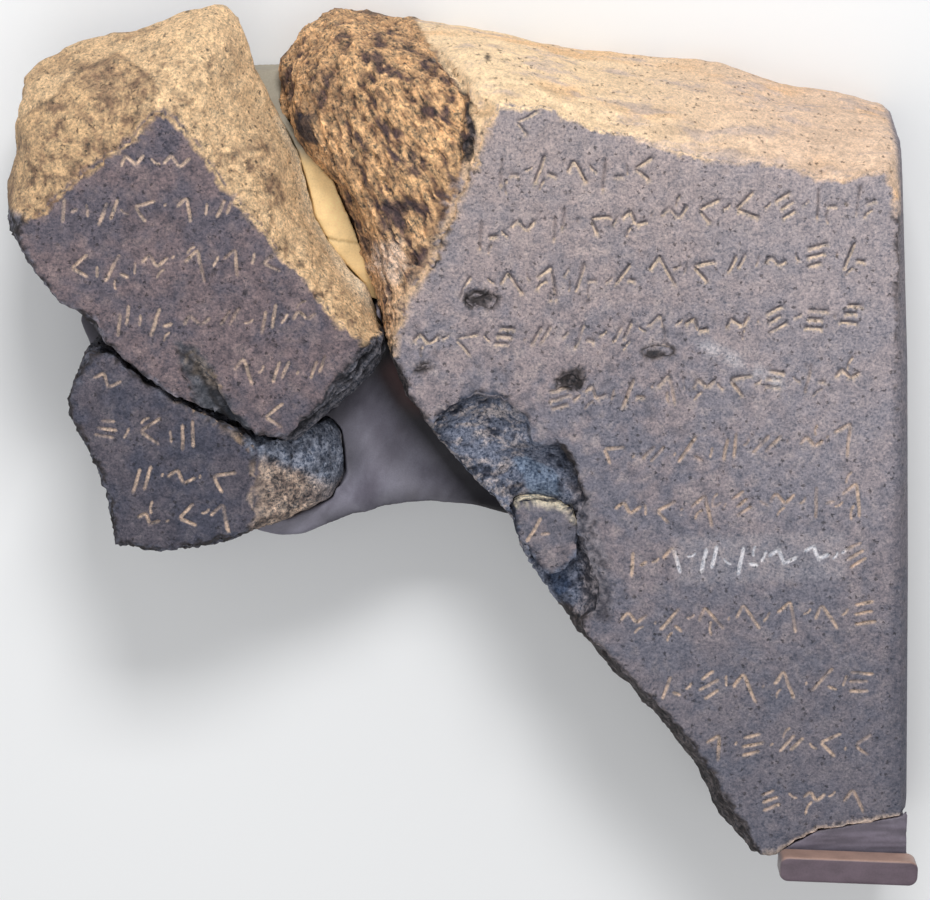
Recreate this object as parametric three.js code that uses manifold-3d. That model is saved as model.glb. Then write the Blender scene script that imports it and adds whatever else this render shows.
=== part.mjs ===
// Part of an inscribed basalt slab: one large and two small fragments, rejoined with moulded
// fills and held at the foot by a small painted bracket. It lies on its back. X runs along the
// lines of writing, Y towards the top of the slab and Z out of the inscribed face. Millimetres.

import * as THREE from 'three';
import { mergeVertices } from 'three/addons/utils/BufferGeometryUtils.js';
import { ConvexGeometry } from 'three/addons/geometries/ConvexGeometry.js';
import Module from 'manifold-3d';

const wasm = await Module();
wasm.setup();

// ---------------------------------------------------------------- driving dimensions

const FACE = 80;             // height of the inscribed face over the back
const LOW_FACE = 77;         // the lower left fragment sits a little deeper
const BED = 30;              // top of the backing slab that carries the two small fragments
const GAP = 0.4;             // clearance between neighbouring pieces
const STEP = 9;              // spacing of the vertices along a broken edge
const BREAK_ROWS = 3;        // rows of facets from the face down to the outer rim
const SIDE_ROWS = 3;         // rows of facets from the rim down to the back
const TUCK = 4;              // how far a broken side draws in towards the back
const ROUGH = 1.7;           // height of the bumps on a fracture
const GRAIN = 13;            // spacing of those bumps
const RIM_SHARE = 0.5;       // share of those bumps that the edge of the face gets
const RAGGED_SPREAD = 30;    // spreads a scar's outline over a few bumps

const STROKE_WIDTH = 1.3;    // a cut stroke of the writing
const STROKE_DEPTH = 0.9;
const STROKE_LIFT = 0.3;     // how far the cutter of a stroke stands out of the face
const PROUD = 2;             // how far any other cutter stands out of it
const MARK_HEIGHT = 9.5;     // usual height of a mark
const MARK_VARIES = 0.15;    // share of its height that a mark may gain or lose
const MARK_PITCH = 14;       // from one mark to the next
const MARK_STRAY = 1;        // how far a mark may stray from its place
const MARK_LEAN = [-24, 20]; // range of its turn, in degrees

// A fragment's outline is a ring of stations, counter-clockwise from above. Each holds the edge
// of the inscribed face (x, y), the outer rim (x, y, z), how far the break swells between the
// two (0 a straight slope, 1 a full shoulder) and how rough it is.

const LARGE = {
  face: FACE,
  back: 0,
  stations: [
    [164, -141, 168, -142, 68, 0.4, 0],
    [162, -50, 166.5, -50, 68, 0.4, 0],
    [160, 30, 164.5, 30, 68, 0.4, 0],
    [157, 91, 161.5, 92, 68, 0.4, 0],
    [154.5, 104, 162, 110, 52, 0.3, 0.2],
    [147, 103, 161, 120, 20, 0.3, 0.6],
    [130, 101, 134, 126.5, 20, 0.35, 0.7],
    [109, 107, 114, 130.5, 20, 0.35, 0.7],
    [87, 107, 97, 136.5, 20, 0.4, 0.7],
    [68, 114, 65, 139, 20, 0.4, 0.7],
    [50, 118, 45, 141.5, 20, 0.4, 0.7],
    [32, 126, 22, 146, 20, 0.45, 0.7],
    [12, 129, 2, 150, 20, 0.5, 0.8],
    [6, 114, -23, 153, 20, 0.7, 1],
    [3, 107, -50, 157.5, 24, 0.8, 1],
    [0, 101, -62, 149.5, 28, 0.8, 1],
    [-3, 93, -70, 137, 30, 0.8, 1],
    [-6, 84, -69, 121, 30, 0.75, 1],
    [-9, 76, -63, 109, 33, 0.7, 1],
    [-15, 66, -51, 98, 35, 0.55, 1],
    [-21, 57, -42.5, 77, 36, 0.4, 0.8],
    [-26, 44, -33.5, 55, 46, 0.2, 0.5],
    [-27, 37, -28.3, 38, 62, 0.1, 0.3],
    [-20, 20, -21.5, 19, 66, 0.3, 0.5],
    [-10, 7, -12, 5, 64, 0.3, 0.5],
    [4, -10, 2, -12, 60, 0.3, 0.6],
    [18, -26, 16.5, -27, 58, 0.3, 0.6],
    [24, -40, 21.5, -42, 58, 0.3, 0.6],
    [36, -56, 32, -58, 58, 0.3, 0.8],
    [47, -71, 41.5, -72, 58, 0.3, 0.8],
    [62, -87, 56, -89, 58, 0.35, 0.8],
    [80, -106, 73, -107, 58, 0.35, 0.8],
    [94, -126, 88, -127, 58, 0.35, 0.8],
    [105, -146, 99, -148, 60, 0.3, 0.8],
    [112.5, -157, 109, -160, 62, 0.3, 0.5],
    [118, -155, 118, -157.5, 56, 0.3, 0.4],
    [134, -146.5, 135, -150, 50, 0.3, 0.6],
    [148, -143.5, 150, -147, 50, 0.3, 0.5],
  ],
};

const UPPER = {
  face: FACE,
  back: BED + GAP,
  stations: [
    [-36, 40, -29.6, 38, 68, 0.3, 0.4],
    [-45, 46, -32.5, 46, 58, 0.3, 0.6],
    [-51, 54, -37.5, 57, 53, 0.3, 0.7],
    [-66, 72, -49, 70, 49, 0.3, 0.7],
    [-75, 83, -56, 82, 47, 0.35, 0.7],
    [-91, 103, -62, 105, 45, 0.35, 0.7],
    [-104, 120, -74, 128, 45, 0.4, 0.8],
    [-108, 125, -79.5, 146, 45, 0.45, 0.8],
    [-109.5, 126, -83, 156, 45, 0.45, 0.8],
    [-111, 126, -90.5, 161.5, 45, 0.4, 0.8],
    [-114, 123, -107, 157.5, 45, 0.45, 0.8],
    [-121, 115, -122, 151.5, 45, 0.5, 0.8],
    [-130, 109, -143, 148, 45, 0.5, 0.8],
    [-138, 103, -161, 138, 45, 0.5, 0.9],
    [-147, 96, -168, 127, 45, 0.5, 0.9],
    [-154, 89, -167, 109, 45, 0.4, 0.9],
    [-161, 84, -169.5, 92, 52, 0.3, 0.8],
    [-163, 78, -168, 80, 62, 0.3, 0.7],
    [-156.5, 66, -159, 65, 66, 0.3, 0.6],
    [-149, 55, -151, 53.5, 66, 0.3, 0.6],
    [-138, 50, -139, 48.5, 66, 0.3, 0.6],
    [-131, 39.5, -132.5, 38.5, 66, 0.3, 0.5],
    [-124, 32, -124.5, 31.3, 62, 0.3, 0.3],
    [-108, 21.5, -108.2, 20.8, 62, 0.3, 0.3],
    [-90, 12.5, -90.2, 11.8, 62, 0.3, 0.3],
    [-76, 5.5, -76.2, 4.8, 62, 0.3, 0.3],
    [-65.5, 5, -64.5, 1, 62, 0.3, 0.4],
    [-57, 14, -52, 9.5, 56, 0.25, 0.6],
    [-47, 26, -41, 18.5, 54, 0.25, 0.6],
    [-40, 34, -31, 29, 56, 0.25, 0.6],
  ],
};

const LOWER = {
  face: LOW_FACE,
  back: BED + GAP,
  stations: [
    [-78, -27, -48.5, -22, 58, 0.5, 0.7],
    [-79, -12, -45, -14, 56, 0.55, 0.7],
    [-79, -3, -47, 2, 56, 0.55, 0.7],
    [-79.5, 0.5, -51.8, 8.2, 58, 0.4, 0.5],
    [-81, 2.3, -64.8, -0.4, 64, 0.3, 0.3],
    [-84.5, 6.5, -76.6, 3.4, 66, 0.3, 0.3],
    [-90.8, 10, -90.7, 10.7, 62, 0.3, 0.3],
    [-108.5, 19, -108.7, 19.7, 62, 0.3, 0.3],
    [-124.8, 30, -125.2, 30.3, 62, 0.3, 0.3],
    [-133, 36, -134, 37, 62, 0.3, 0.5],
    [-139, 35, -141, 36.5, 60, 0.3, 0.6],
    [-141.5, 27, -143, 27, 60, 0.3, 0.6],
    [-146.5, 19, -148, 18, 60, 0.3, 0.6],
    [-145, 9, -146.5, 8, 60, 0.3, 0.6],
    [-137, -4, -138.5, -5, 60, 0.3, 0.6],
    [-131.5, -19, -133, -20, 60, 0.3, 0.6],
    [-129.5, -36, -130.5, -38.5, 60, 0.3, 0.6],
    [-113, -38.5, -113, -41.5, 58, 0.3, 0.6],
    [-95, -35.5, -92, -39.5, 58, 0.3, 0.6],
    [-81, -31, -66, -30, 58, 0.4, 0.7],
  ],
};

// ---------------------------------------------------------------- solids and meshes

const MERGE = 1e-4;          // vertices closer than this are one

const toSolid = geometry => {
  geometry.deleteAttribute('normal');
  geometry.deleteAttribute('uv');
  const merged = mergeVertices(geometry, MERGE);
  return new wasm.Manifold(new wasm.Mesh({
    numProp: 3,
    vertProperties: Float32Array.from(merged.attributes.position.array),
    triVerts: Uint32Array.from(merged.index.array),
  }));
};

const toGeometry = solid => {
  const mesh = solid.getMesh();
  const geometry = new THREE.BufferGeometry();
  geometry.setAttribute('position', new THREE.BufferAttribute(mesh.vertProperties, 3));
  geometry.setIndex(new THREE.BufferAttribute(mesh.triVerts, 1));
  return geometry;
};

const hull = points => toSolid(new ConvexGeometry(points.map(p => new THREE.Vector3(...p))));

// Bit patterns that scatter neighbouring whole numbers, and strides that keep seeds apart.
const SCATTER = [0x9e3779b9, 0x85ebca6b, 0xc2b2ae35];
const DRAW_STRIDE = 7919;
const CELL_STRIDES = [73, 4099, 65537];
const NOISE_STRIDE = 991;

// The same numbers every time: a whole number in, a fraction from 0 to 1 out.
const fraction = seed => {
  let n = Math.imul(seed ^ SCATTER[0], SCATTER[1]);
  n = Math.imul(n ^ (n >>> 13), SCATTER[2]);
  return ((n ^ (n >>> 16)) >>> 0) / 2 ** 32;
};

const drawer = seed => {
  let count = 0;
  return (low, high) => low + (high - low) * fraction(seed * DRAW_STRIDE + count++);
};

// Smooth bumps between -1 and 1, about GRAIN apart.

const noise = (x, y, z, seed) => {
  const cell = [x, y, z].map(v => Math.floor(v / GRAIN));
  const part = [x, y, z].map((v, i) => v / GRAIN - cell[i]).map(t => t * t * (3 - 2 * t));
  let sum = 0;
  for (let corner = 0; corner < 8; corner++) {
    const bits = [corner & 1, (corner >> 1) & 1, corner >> 2];
    const key = bits.reduce((k, bit, i) => k + (cell[i] + bit) * CELL_STRIDES[i], 0);
    const share = bits.reduce((s, bit, i) => s * (bit ? part[i] : 1 - part[i]), 1);
    sum += share * fraction(key + seed * NOISE_STRIDE);
  }
  return 2 * sum - 1;
};

// ---------------------------------------------------------------- broken fragments

// Columns of vertices about STEP apart, blended from one station to the next.
const spread = stations => {
  const columns = [];
  stations.forEach((from, i) => {
    const to = stations[(i + 1) % stations.length];
    const length = Math.hypot(to[2] - from[2], to[3] - from[3]);
    const pieces = Math.max(1, Math.round(length / STEP));
    for (let k = 0; k < pieces; k++) {
      columns.push(from.map((value, j) => value + (to[j] - value) * k / pieces));
    }
  });
  return columns;
};

// The points of one column: down the break from the face to the rim, then down to the back.
const fragmentColumn = (stone, [fx, fy, rx, ry, rz, swell, rough]) => {
  const face = new THREE.Vector3(fx, fy, stone.face);
  const rim = new THREE.Vector3(rx, ry, rz);
  const shoulder = face.clone().lerp(rim, 0.5).lerp(new THREE.Vector3(rx, ry, stone.face), swell);
  const profile = new THREE.QuadraticBezierCurve3(face, shoulder, rim);
  const points = profile.getPoints(BREAK_ROWS);
  for (let k = 1; k <= SIDE_ROWS; k++) {
    points.push(new THREE.Vector3(rx, ry, rz + (stone.back - rz) * k / SIDE_ROWS));
  }
  points.forEach((point, row) => {
    const strength = rough * ROUGH * (row ? 1 : RIM_SHARE);
    const { x, y, z } = point;
    point.x += strength * noise(x, y, z, 1);
    point.y += strength * noise(x, y, z, 2);
    if (row && row < points.length - 1) point.z += strength * noise(x, y, z, 3);
  });
  return points;
};

// A whole fragment, grown all round by a clearance where it is to cut its neighbours.
const fragment = (stone, grow = 0) => {
  const columns = spread(stone.stations);
  const rings = columns.map(column => fragmentColumn(stone, column));
  const count = rings.length;
  const rows = BREAK_ROWS + SIDE_ROWS + 1;
  const outward = rings.map((points, i) => {
    const before = rings[(i + count - 1) % count][BREAK_ROWS];
    const after = rings[(i + 1) % count][BREAK_ROWS];
    return new THREE.Vector2(after.y - before.y, before.x - after.x).normalize();
  });
  rings.forEach((points, i) => points.forEach((point, row) => {
    const drawIn = columns[i][6] * TUCK * Math.max(0, row - BREAK_ROWS) / SIDE_ROWS;
    point.x += (grow - drawIn) * outward[i].x;
    point.y += (grow - drawIn) * outward[i].y;
    point.z += row === rows - 1 ? -grow : grow;
  }));
  const positions = rings.flat().flatMap(point => point.toArray());
  const faces = [];
  for (let i = 0; i < count; i++) {
    const next = (i + 1) % count;
    for (let row = 0; row < rows - 1; row++) {
      const a = i * rows + row;
      const b = next * rows + row;
      faces.push(a, b + 1, b, a, a + 1, b + 1);
    }
  }
  const cap = row => THREE.ShapeUtils.triangulateShape(
    rings.map(points => new THREE.Vector2(points[row].x, points[row].y)), []);
  cap(0).forEach(([a, b, c]) => faces.push(a * rows, b * rows, c * rows));
  cap(rows - 1).forEach(([a, b, c]) => faces.push(...[a, c, b].map(v => v * rows + rows - 1)));
  const geometry = new THREE.BufferGeometry();
  geometry.setAttribute('position', new THREE.Float32BufferAttribute(positions, 3));
  geometry.setIndex(faces);
  return toSolid(geometry);
};

// ---------------------------------------------------------------- cuts

// A flake scar, pit or hollow: an ellipsoid let into the stone, turned in plan, tipped towards
// -Y and ragged by a share of its size.
const dish = ({ at, size, turn = 0, tip = 0, detail = 3, ragged = 0 }) => {
  const form = new THREE.IcosahedronGeometry(1, detail);
  const spots = form.attributes.position;
  for (let i = 0; i < spots.count; i++) {
    const spot = new THREE.Vector3().fromBufferAttribute(spots, i);
    const probe = spot.clone().multiplyScalar(RAGGED_SPREAD).addScalar(at[0]);
    spot.multiplyScalar(1 + ragged * noise(probe.x, probe.y, probe.z, 4));
    spots.setXYZ(i, spot.x, spot.y, spot.z);
  }
  form.scale(...size);
  form.rotateX(THREE.MathUtils.degToRad(tip));
  form.rotateZ(THREE.MathUtils.degToRad(turn));
  form.translate(...at);
  return toSolid(form);
};

// A crack: a furrow under a line of surface points (x, y, z and the depth there), with its own
// width to the right and the left of the way it runs.
const furrow = (path, right, left) => path.slice(1).map((end, i) => {
  const start = path[i];
  const side = new THREE.Vector2(end[1] - start[1], start[0] - end[0]).normalize();
  return hull([start, end].flatMap(([x, y, z, depth]) => [
    [x, y, z - depth],
    [x + side.x * right, y + side.y * right, z + PROUD],
    [x - side.x * left, y - side.y * left, z + PROUD],
  ]));
});

// One cut of the chisel: a V with both ends sloping, STROKE_WIDTH wide at the face.
const stroke = ([x0, y0], [x1, y1], face) => {
  const along = new THREE.Vector2(x1 - x0, y1 - y0).normalize();
  const half = STROKE_WIDTH / 2;
  const widen = half * (1 + STROKE_LIFT / STROKE_DEPTH);
  const corner = (x, y, way) => [
    [x - along.y * widen, y + along.x * widen, face + STROKE_LIFT],
    [x + along.y * widen, y - along.x * widen, face + STROKE_LIFT],
    [x + way * along.x * half, y + way * along.y * half, face - STROKE_DEPTH],
  ];
  return hull([...corner(x0, y0, 1), ...corner(x1, y1, -1)]);
};

// Marks that stand for writing and belong to no alphabet: loose groups of plain cuts, each in a
// cell one unit high, stretched by the draw.
const MARKS = [
  draw => [[[0.1, 0], [0.45, draw(0.8, 1)]], [[0.5, draw(0, 0.3)], [0.85, 1]]],
  draw => [[[0.9, draw(0.85, 1)], [0.15, 0.5]], [[0.15, 0.5], [draw(0.6, 0.9), 0]]],
  draw => [[[0.15, -0.1], [0.55, 1]], [[0.6, 0.3], [1, draw(0.15, 0.45)]]],
  draw => [[[0, 0.45], [0.3, 0.8]], [[0.3, 0.8], [0.6, 0.35]], [[0.6, 0.35], [1, draw(0.55, 0.8)]]],
  draw => [[[0.05, 0.45], [0.45, 1]], [[0.45, 1], [draw(0.75, 1), -0.15]]],
  draw => [0.15, 0.5, 0.85].map(v => [[draw(0, 0.2), v - 0.1], [draw(0.7, 1), v + 0.1]]),
];

// Rows of marks, each row from one end (x, y) to the other.
const writing = (rows, face, seed) => {
  const draw = drawer(seed);
  return rows.flatMap(([x0, y0, x1, y1]) => {
    const count = Math.max(1, Math.round(Math.hypot(x1 - x0, y1 - y0) / MARK_PITCH));
    return Array.from({ length: count }, (_, i) => {
      const lines = MARKS[Math.floor(draw(0, MARKS.length))](draw);
      const size = MARK_HEIGHT * draw(1 - MARK_VARIES, 1 + MARK_VARIES);
      const turn = THREE.MathUtils.degToRad(draw(...MARK_LEAN));
      const x = x0 + (x1 - x0) * (i + 0.5) / count + draw(-MARK_STRAY, MARK_STRAY);
      const y = y0 + (y1 - y0) * (i + 0.5) / count + draw(-MARK_STRAY, MARK_STRAY);
      const place = ([u, v]) => {
        const spot = new THREE.Vector2(u - 0.5, v - 0.5).rotateAround(new THREE.Vector2(), turn);
        return [x + size * spot.x, y + size * spot.y];
      };
      return lines.map(([from, to]) => stroke(place(from), place(to), face));
    }).flat();
  });
};

// ---------------------------------------------------------------- what is cut where

const LARGE_ROWS = [
  [13, 121, 33, 121], [9, 104, 72, 105], [0, 81, 152, 94], [-5, 61, 150, 74], [-21, 40, 150, 51],
  [28, 20, 148, 29], [48, -2, 149, 5], [54, -24, 152, -18], [56, -43, 152, -40],
  [56, -65, 156, -62], [70, -91, 156, -88], [88, -113, 157, -113], [108, -136, 154, -134],
];
const UPPER_ROWS = [
  [-128, 106, -98, 107], [-153, 89, -80, 91], [-148, 68, -64, 71], [-131, 48, -53, 50],
  [-88, 29, -48, 31], [-79, 13, -62, 14],
];
const LOWER_ROWS = [
  [-139, 26, -124, 24], [-140, 7, -94, 5], [-128, -12, -82, -11], [-124, -28, -84, -25],
];
const CHIP_ROWS = [[20, -31, 36, -30]];

const LARGE_SCARS = [
  { at: [6, 3, 82], size: [20, 20, 13], turn: -20, tip: 14, ragged: 0.12 },
  { at: [25, -13, 82], size: [22, 17, 15], turn: -42, tip: 10, ragged: 0.12 },
  { at: [35, -47, 82], size: [13, 21, 15], turn: 12, tip: 8, ragged: 0.15 },
  { at: [-60, 113, 34], size: [6, 9, 8], turn: 25, detail: 2 },
  { at: [39, 27, 80], size: [5.5, 3.6, 5], turn: 5, detail: 1, ragged: 0.2 },
  { at: [6, 56, 80.5], size: [6.5, 3, 2.4], turn: -8, detail: 1, ragged: 0.2 },
  { at: [71, 37, 80.4], size: [5.5, 2.4, 1.6], turn: 3, detail: 1, ragged: 0.2 },
  { at: [-16, 31, 80.4], size: [3.6, 2, 2], turn: 10, detail: 1, ragged: 0.2 },
];
const LARGE_CRACK = [
  [-22, 153, 25, 4], [-14, 146, 46, 5], [-5, 138, 61, 5], [1.5, 128, 73, 5], [0.5, 115, 77, 4],
  [-1, 105, 78.5, 2],
];
const UPPER_SCARS = [
  { at: [-168, 127, 46], size: [6, 9, 9], turn: 10, detail: 2, ragged: 0.2 },
];
const UPPER_CRACK = [[-80, 4, 80, 3.5], [-88, 17, 80, 3.5], [-94, 27, 80, 2.5], [-100, 37, 80, 0.5]];

// The refitted chip, in plan, and its height.
const CHIP = [
  [17.6, -20.5], [27, -20], [39, -22.5], [41.5, -27], [41, -41], [36, -46], [31, -47],
  [25.5, -41], [19.5, -32],
];
const CHIP_TOP = 78.5;
const CHIP_FOOT = 64;

// The backing slab under the small fragments, and the web of fill from it across to the large one.
const SLAB = [
  [-54, -22], [-78, -32], [-122, -30], [-126, -10], [-136, 8], [-141, 26], [-146.5, 40], [-142, 48],
  [-150, 60], [-161, 84], [-158, 106], [-157, 124], [-140, 140], [-108, 149], [-92, 151],
  [-86, 136], [-72, 104], [-64, 86], [-54, 70], [-40, 54], [-34, 42],
];
const WEB = [
  [-33, 50], [-45, 30], [-60, 12], [-72, -10], [-82, -30], [-80, -34.5], [-70, -37.5], [-60, -36.5],
  [-51, -32.5], [-42, -29], [-30, -27.2], [-13, -26.8], [4, -28.2], [20, -31.5], [24, -20],
  [-4, 14], [-20, 50],
];
const WEB_TOP = 61;
const WEB_HOLLOW = { at: [-1, 6, 100], size: [72, 62, 61], detail: 5 };

// The pale fill in the gap above, from its thin upper end down to where the stones meet.
const WEDGE = [
  [-84, 133.5], [-78, 112], [-70, 92], [-60, 76], [-49, 62], [-39, 52], [-30, 50], [-34, 62],
  [-40, 82], [-50, 100], [-58, 112], [-62, 134],
];
const WEDGE_FOOT = 2;        // height of its underside
const WEDGE_TOP = [[134, 20], [108, 44], [48, 47]];  // y and height: sunken above, then full
const WEDGE_SIDES = [-90, -25];

const SHELF_TOP = -158.2;    // the bracket's shelf, under the foot
const FOOT = { left: 119, right: 167, top: -140, height: 79 };
const LIP = {
  left: 118, right: 170, top: -152, bottom: -164, back: 81, front: 92.5, corner: 3, bevel: 1,
};
const SHELF = { left: 120, right: 168, bottom: -163.5 };

// ---------------------------------------------------------------- pieces

const plan = points => new THREE.Shape(points.map(([x, y]) => new THREE.Vector2(x, y)));

const prism = (points, bottom, top) => {
  const form = new THREE.ExtrudeGeometry(plan(points), { depth: top - bottom, bevelEnabled: false });
  form.translate(0, 0, bottom);
  return toSolid(form);
};

const box = (left, right, bottom, top, back, front) => {
  const form = new THREE.BoxGeometry(right - left, top - bottom, front - back);
  form.translate((left + right) / 2, (bottom + top) / 2, (back + front) / 2);
  return toSolid(form);
};

// A ring of points moved out by the clearance, for the socket that a piece sits in.
const widened = (points, by) => {
  const turn = Math.sign(THREE.ShapeUtils.area(points.map(p => new THREE.Vector2(...p))));
  return points.map(([x, y], i) => {
    const before = points[(i + points.length - 1) % points.length];
    const after = points[(i + 1) % points.length];
    const out = new THREE.Vector2(after[1] - before[1], before[0] - after[0]).normalize();
    return [x + turn * out.x * by, y + turn * out.y * by];
  });
};

const cut = (solid, cutters) => cutters.reduce((rest, cutter) => rest.subtract(cutter), solid);

const largest = solid => solid.decompose().sort((a, b) => b.volume() - a.volume())[0];

// The stones a clearance larger all round, to cut what meets them.
const [largeRoom, upperRoom, lowerRoom] = [LARGE, UPPER, LOWER].map(stone => fragment(stone, GAP));
const stones = [largeRoom, upperRoom, lowerRoom];

const largeFragment = () => cut(fragment(LARGE), [
  ...LARGE_SCARS.map(dish),
  ...furrow(LARGE_CRACK, 1.5, 6),
  prism(widened(CHIP, GAP), CHIP_FOOT - GAP, FACE + PROUD),
  ...writing(LARGE_ROWS, FACE, 11),
]);

const upperFragment = () => largest(cut(fragment(UPPER), [
  largeRoom,
  ...UPPER_SCARS.map(dish),
  ...furrow(UPPER_CRACK, 0.5, 14),
  ...writing(UPPER_ROWS, FACE, 5),
]));

const lowerFragment = () => largest(cut(fragment(LOWER), [
  upperRoom,
  ...writing(LOWER_ROWS, LOW_FACE, 8),
]));

const refittedChip = () => cut(prism(CHIP, CHIP_FOOT, CHIP_TOP), writing(CHIP_ROWS, CHIP_TOP, 3));

const joiningFill = () => {
  const web = prism(WEB, 0, WEB_TOP).subtract(dish(WEB_HOLLOW));
  return largest(cut(prism(SLAB, 0, BED).add(web), stones));
};

const upperFill = () => {
  const profile = WEDGE_TOP.flatMap(([y, z]) => [[y, z], [y, WEDGE_FOOT]]);
  const slope = hull(profile.flatMap(([y, z]) => WEDGE_SIDES.map(x => [x, y, z])));
  const fillRoom = [
    prism(widened(SLAB, GAP), 0, BED),
    prism(widened(WEB, GAP), 0, WEB_TOP),
  ];
  return largest(cut(slope.intersect(prism(WEDGE, 0, FACE)), [...stones, ...fillRoom]));
};

const footFill = () => largest(cut(
  box(FOOT.left, FOOT.right, SHELF_TOP + GAP, FOOT.top, 0, FOOT.height), [largeRoom]));

const bracket = () => {
  const outline = new THREE.Shape();
  const { left, right, top, bottom, corner, bevel } = LIP;
  outline.moveTo(left + corner, bottom);
  outline.absarc(right - corner, bottom + corner, corner, -Math.PI / 2, 0);
  outline.absarc(right - corner, top - corner, corner, 0, Math.PI / 2);
  outline.absarc(left + corner, top - corner, corner, Math.PI / 2, Math.PI);
  outline.absarc(left + corner, bottom + corner, corner, Math.PI, 1.5 * Math.PI);
  const lip = new THREE.ExtrudeGeometry(outline, {
    depth: LIP.front - LIP.back - 2 * bevel,
    bevelThickness: bevel,
    bevelSize: bevel,
    bevelOffset: -bevel,
    bevelSegments: 1,
    curveSegments: 4,
  });
  lip.translate(0, 0, LIP.back + bevel);
  const shelf = box(SHELF.left, SHELF.right, SHELF.bottom, SHELF_TOP, 0, LIP.back + bevel);
  return toSolid(lip).add(shelf);
};

const finish = (color, roughness, metalness = 0) =>
  new THREE.MeshStandardMaterial({ color, roughness, metalness });

const PIECES = [
  ['fragment_a', largeFragment, finish(0x5d5152, 0.9)],
  ['fragment_b1', upperFragment, finish(0x5d5152, 0.9)],
  ['fragment_b2', lowerFragment, finish(0x565054, 0.9)],
  ['refitted_chip', refittedChip, finish(0x5d5152, 0.9)],
  ['joining_fill', joiningFill, finish(0x3f3a3d, 0.7)],
  ['upper_fill', upperFill, finish(0xd9bf8c, 0.8)],
  ['foot_fill', footFill, finish(0x453c3f, 0.7)],
  ['bracket', bracket, finish(0x5b4541, 0.45, 0.2)],
];

const stele = new THREE.Group();
for (const [name, build, material] of PIECES) {
  const mesh = new THREE.Mesh(toGeometry(build()), material);
  mesh.name = name;
  stele.add(mesh);
}

// The origin is the middle of the underside.
const extent = new THREE.Box3().setFromObject(stele);
const middle = extent.getCenter(new THREE.Vector3());
stele.position.set(-middle.x, -middle.y, -extent.min.z);

export default stele;
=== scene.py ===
import math

import bpy
import numpy as np
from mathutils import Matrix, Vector, geometry


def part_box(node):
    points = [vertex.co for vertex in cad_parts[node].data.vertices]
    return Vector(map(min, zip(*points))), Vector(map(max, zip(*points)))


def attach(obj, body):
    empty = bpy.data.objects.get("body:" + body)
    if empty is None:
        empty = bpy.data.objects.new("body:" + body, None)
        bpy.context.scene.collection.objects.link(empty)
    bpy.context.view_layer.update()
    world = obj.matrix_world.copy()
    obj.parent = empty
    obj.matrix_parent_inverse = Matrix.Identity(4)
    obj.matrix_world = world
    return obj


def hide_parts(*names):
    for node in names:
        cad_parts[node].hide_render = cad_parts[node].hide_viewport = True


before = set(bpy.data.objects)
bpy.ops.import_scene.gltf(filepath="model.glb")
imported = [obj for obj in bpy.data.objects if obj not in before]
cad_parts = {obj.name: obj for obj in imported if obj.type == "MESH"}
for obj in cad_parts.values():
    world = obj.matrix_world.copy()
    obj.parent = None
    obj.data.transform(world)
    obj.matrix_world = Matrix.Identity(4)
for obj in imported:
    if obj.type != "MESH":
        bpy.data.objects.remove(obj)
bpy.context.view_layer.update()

# Part of an inscribed basalt slab, lying on its back: three fragments, a refitted chip, moulded
# fills and a painted bracket. Each piece below is a finely meshed copy of its CAD node. Lengths in
# the mesh code are millimetres in the row frame, and a mesh is turned into metres when it is made.

MM = 0.001

FACE_EDGE = 2.4          # wanted edge lengths: on the dressed face,
CUT_EDGE = 1.4           # in and near its cut strokes,
BREAK_EDGE = 1.55        # on a break that shows from the front,
SIDE_EDGE = (1.5, 6.0)   # on the sides, at the front and further down
BACK_EDGE = 9.0          # and on the back
FACE_PITCH = 4.0         # first spacing of the points laid over a dressed face
CUT_DEPTH = 0.9          # depth of the strokes in the CAD solids
CUT_SLOPES = (0.585, 0.476)  # upward part of the normals of a stroke's walls and ends
CUT_HALF = 0.9           # half width of a worn stroke
CUT_REACH = 3.0          # how far the map of distances to the strokes goes
MARK_DEPTH = 0.5         # depth of the lesser marks between the CAD's strokes
MARK_HALF = 0.7          # and their half width
MARK_ROOM = 1.6          # least distance between a mark and a stroke
GROUP_REACH = 5.5        # strokes whose middles are this close stand together
ROW_STEP = (6, 24)       # how far it is from one group to the next in its row
RIM_REACH = 5.0          # how far the map of distances to the rim of the face goes
MAP_STEP = 0.2           # spacing of both maps
RIM_ROOM = 0.4           # least distance between a stroke's outline and the rim
SMOOTH_ROUNDS = 4        # of smoothing over the facets of a CAD break

# ---- noise


def scatter(cells, seed):
    """A fraction from 0 to 1 for each row of whole numbers, the same on every run."""
    mixed = np.full(cells.shape[:-1], (seed * 0x9E3779B9) & 0xFFFFFFFF, np.uint32)
    for axis, stride in enumerate((0x8DA6B343, 0xD8163841, 0xCB1AB31F)):
        mixed ^= cells[..., axis].astype(np.uint32) * np.uint32(stride)
        mixed ^= mixed >> np.uint32(15)
        mixed *= np.uint32(0x2C1B3C6D)
    mixed ^= mixed >> np.uint32(12)
    mixed *= np.uint32(0x297A2D39)
    mixed ^= mixed >> np.uint32(15)
    return mixed / 2.0**32


def noise(points, size, seed):
    """Smooth bumps between -1 and 1, about size across, at each point."""
    where = points / size
    cell = np.floor(where).astype(np.int64)
    part = where - cell
    part = part**3 * (part * (part * 6 - 15) + 10)
    total = np.zeros(len(points))
    for corner in np.ndindex(2, 2, 2):
        share = np.prod(np.where(corner, part, 1 - part), axis=1)
        total += share * scatter(cell + np.array(corner), seed)
    return 2 * total - 1


TURN = np.array([[0.36, 0.48, -0.8], [-0.8, 0.6, 0.0], [0.48, 0.64, 0.6]])


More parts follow.
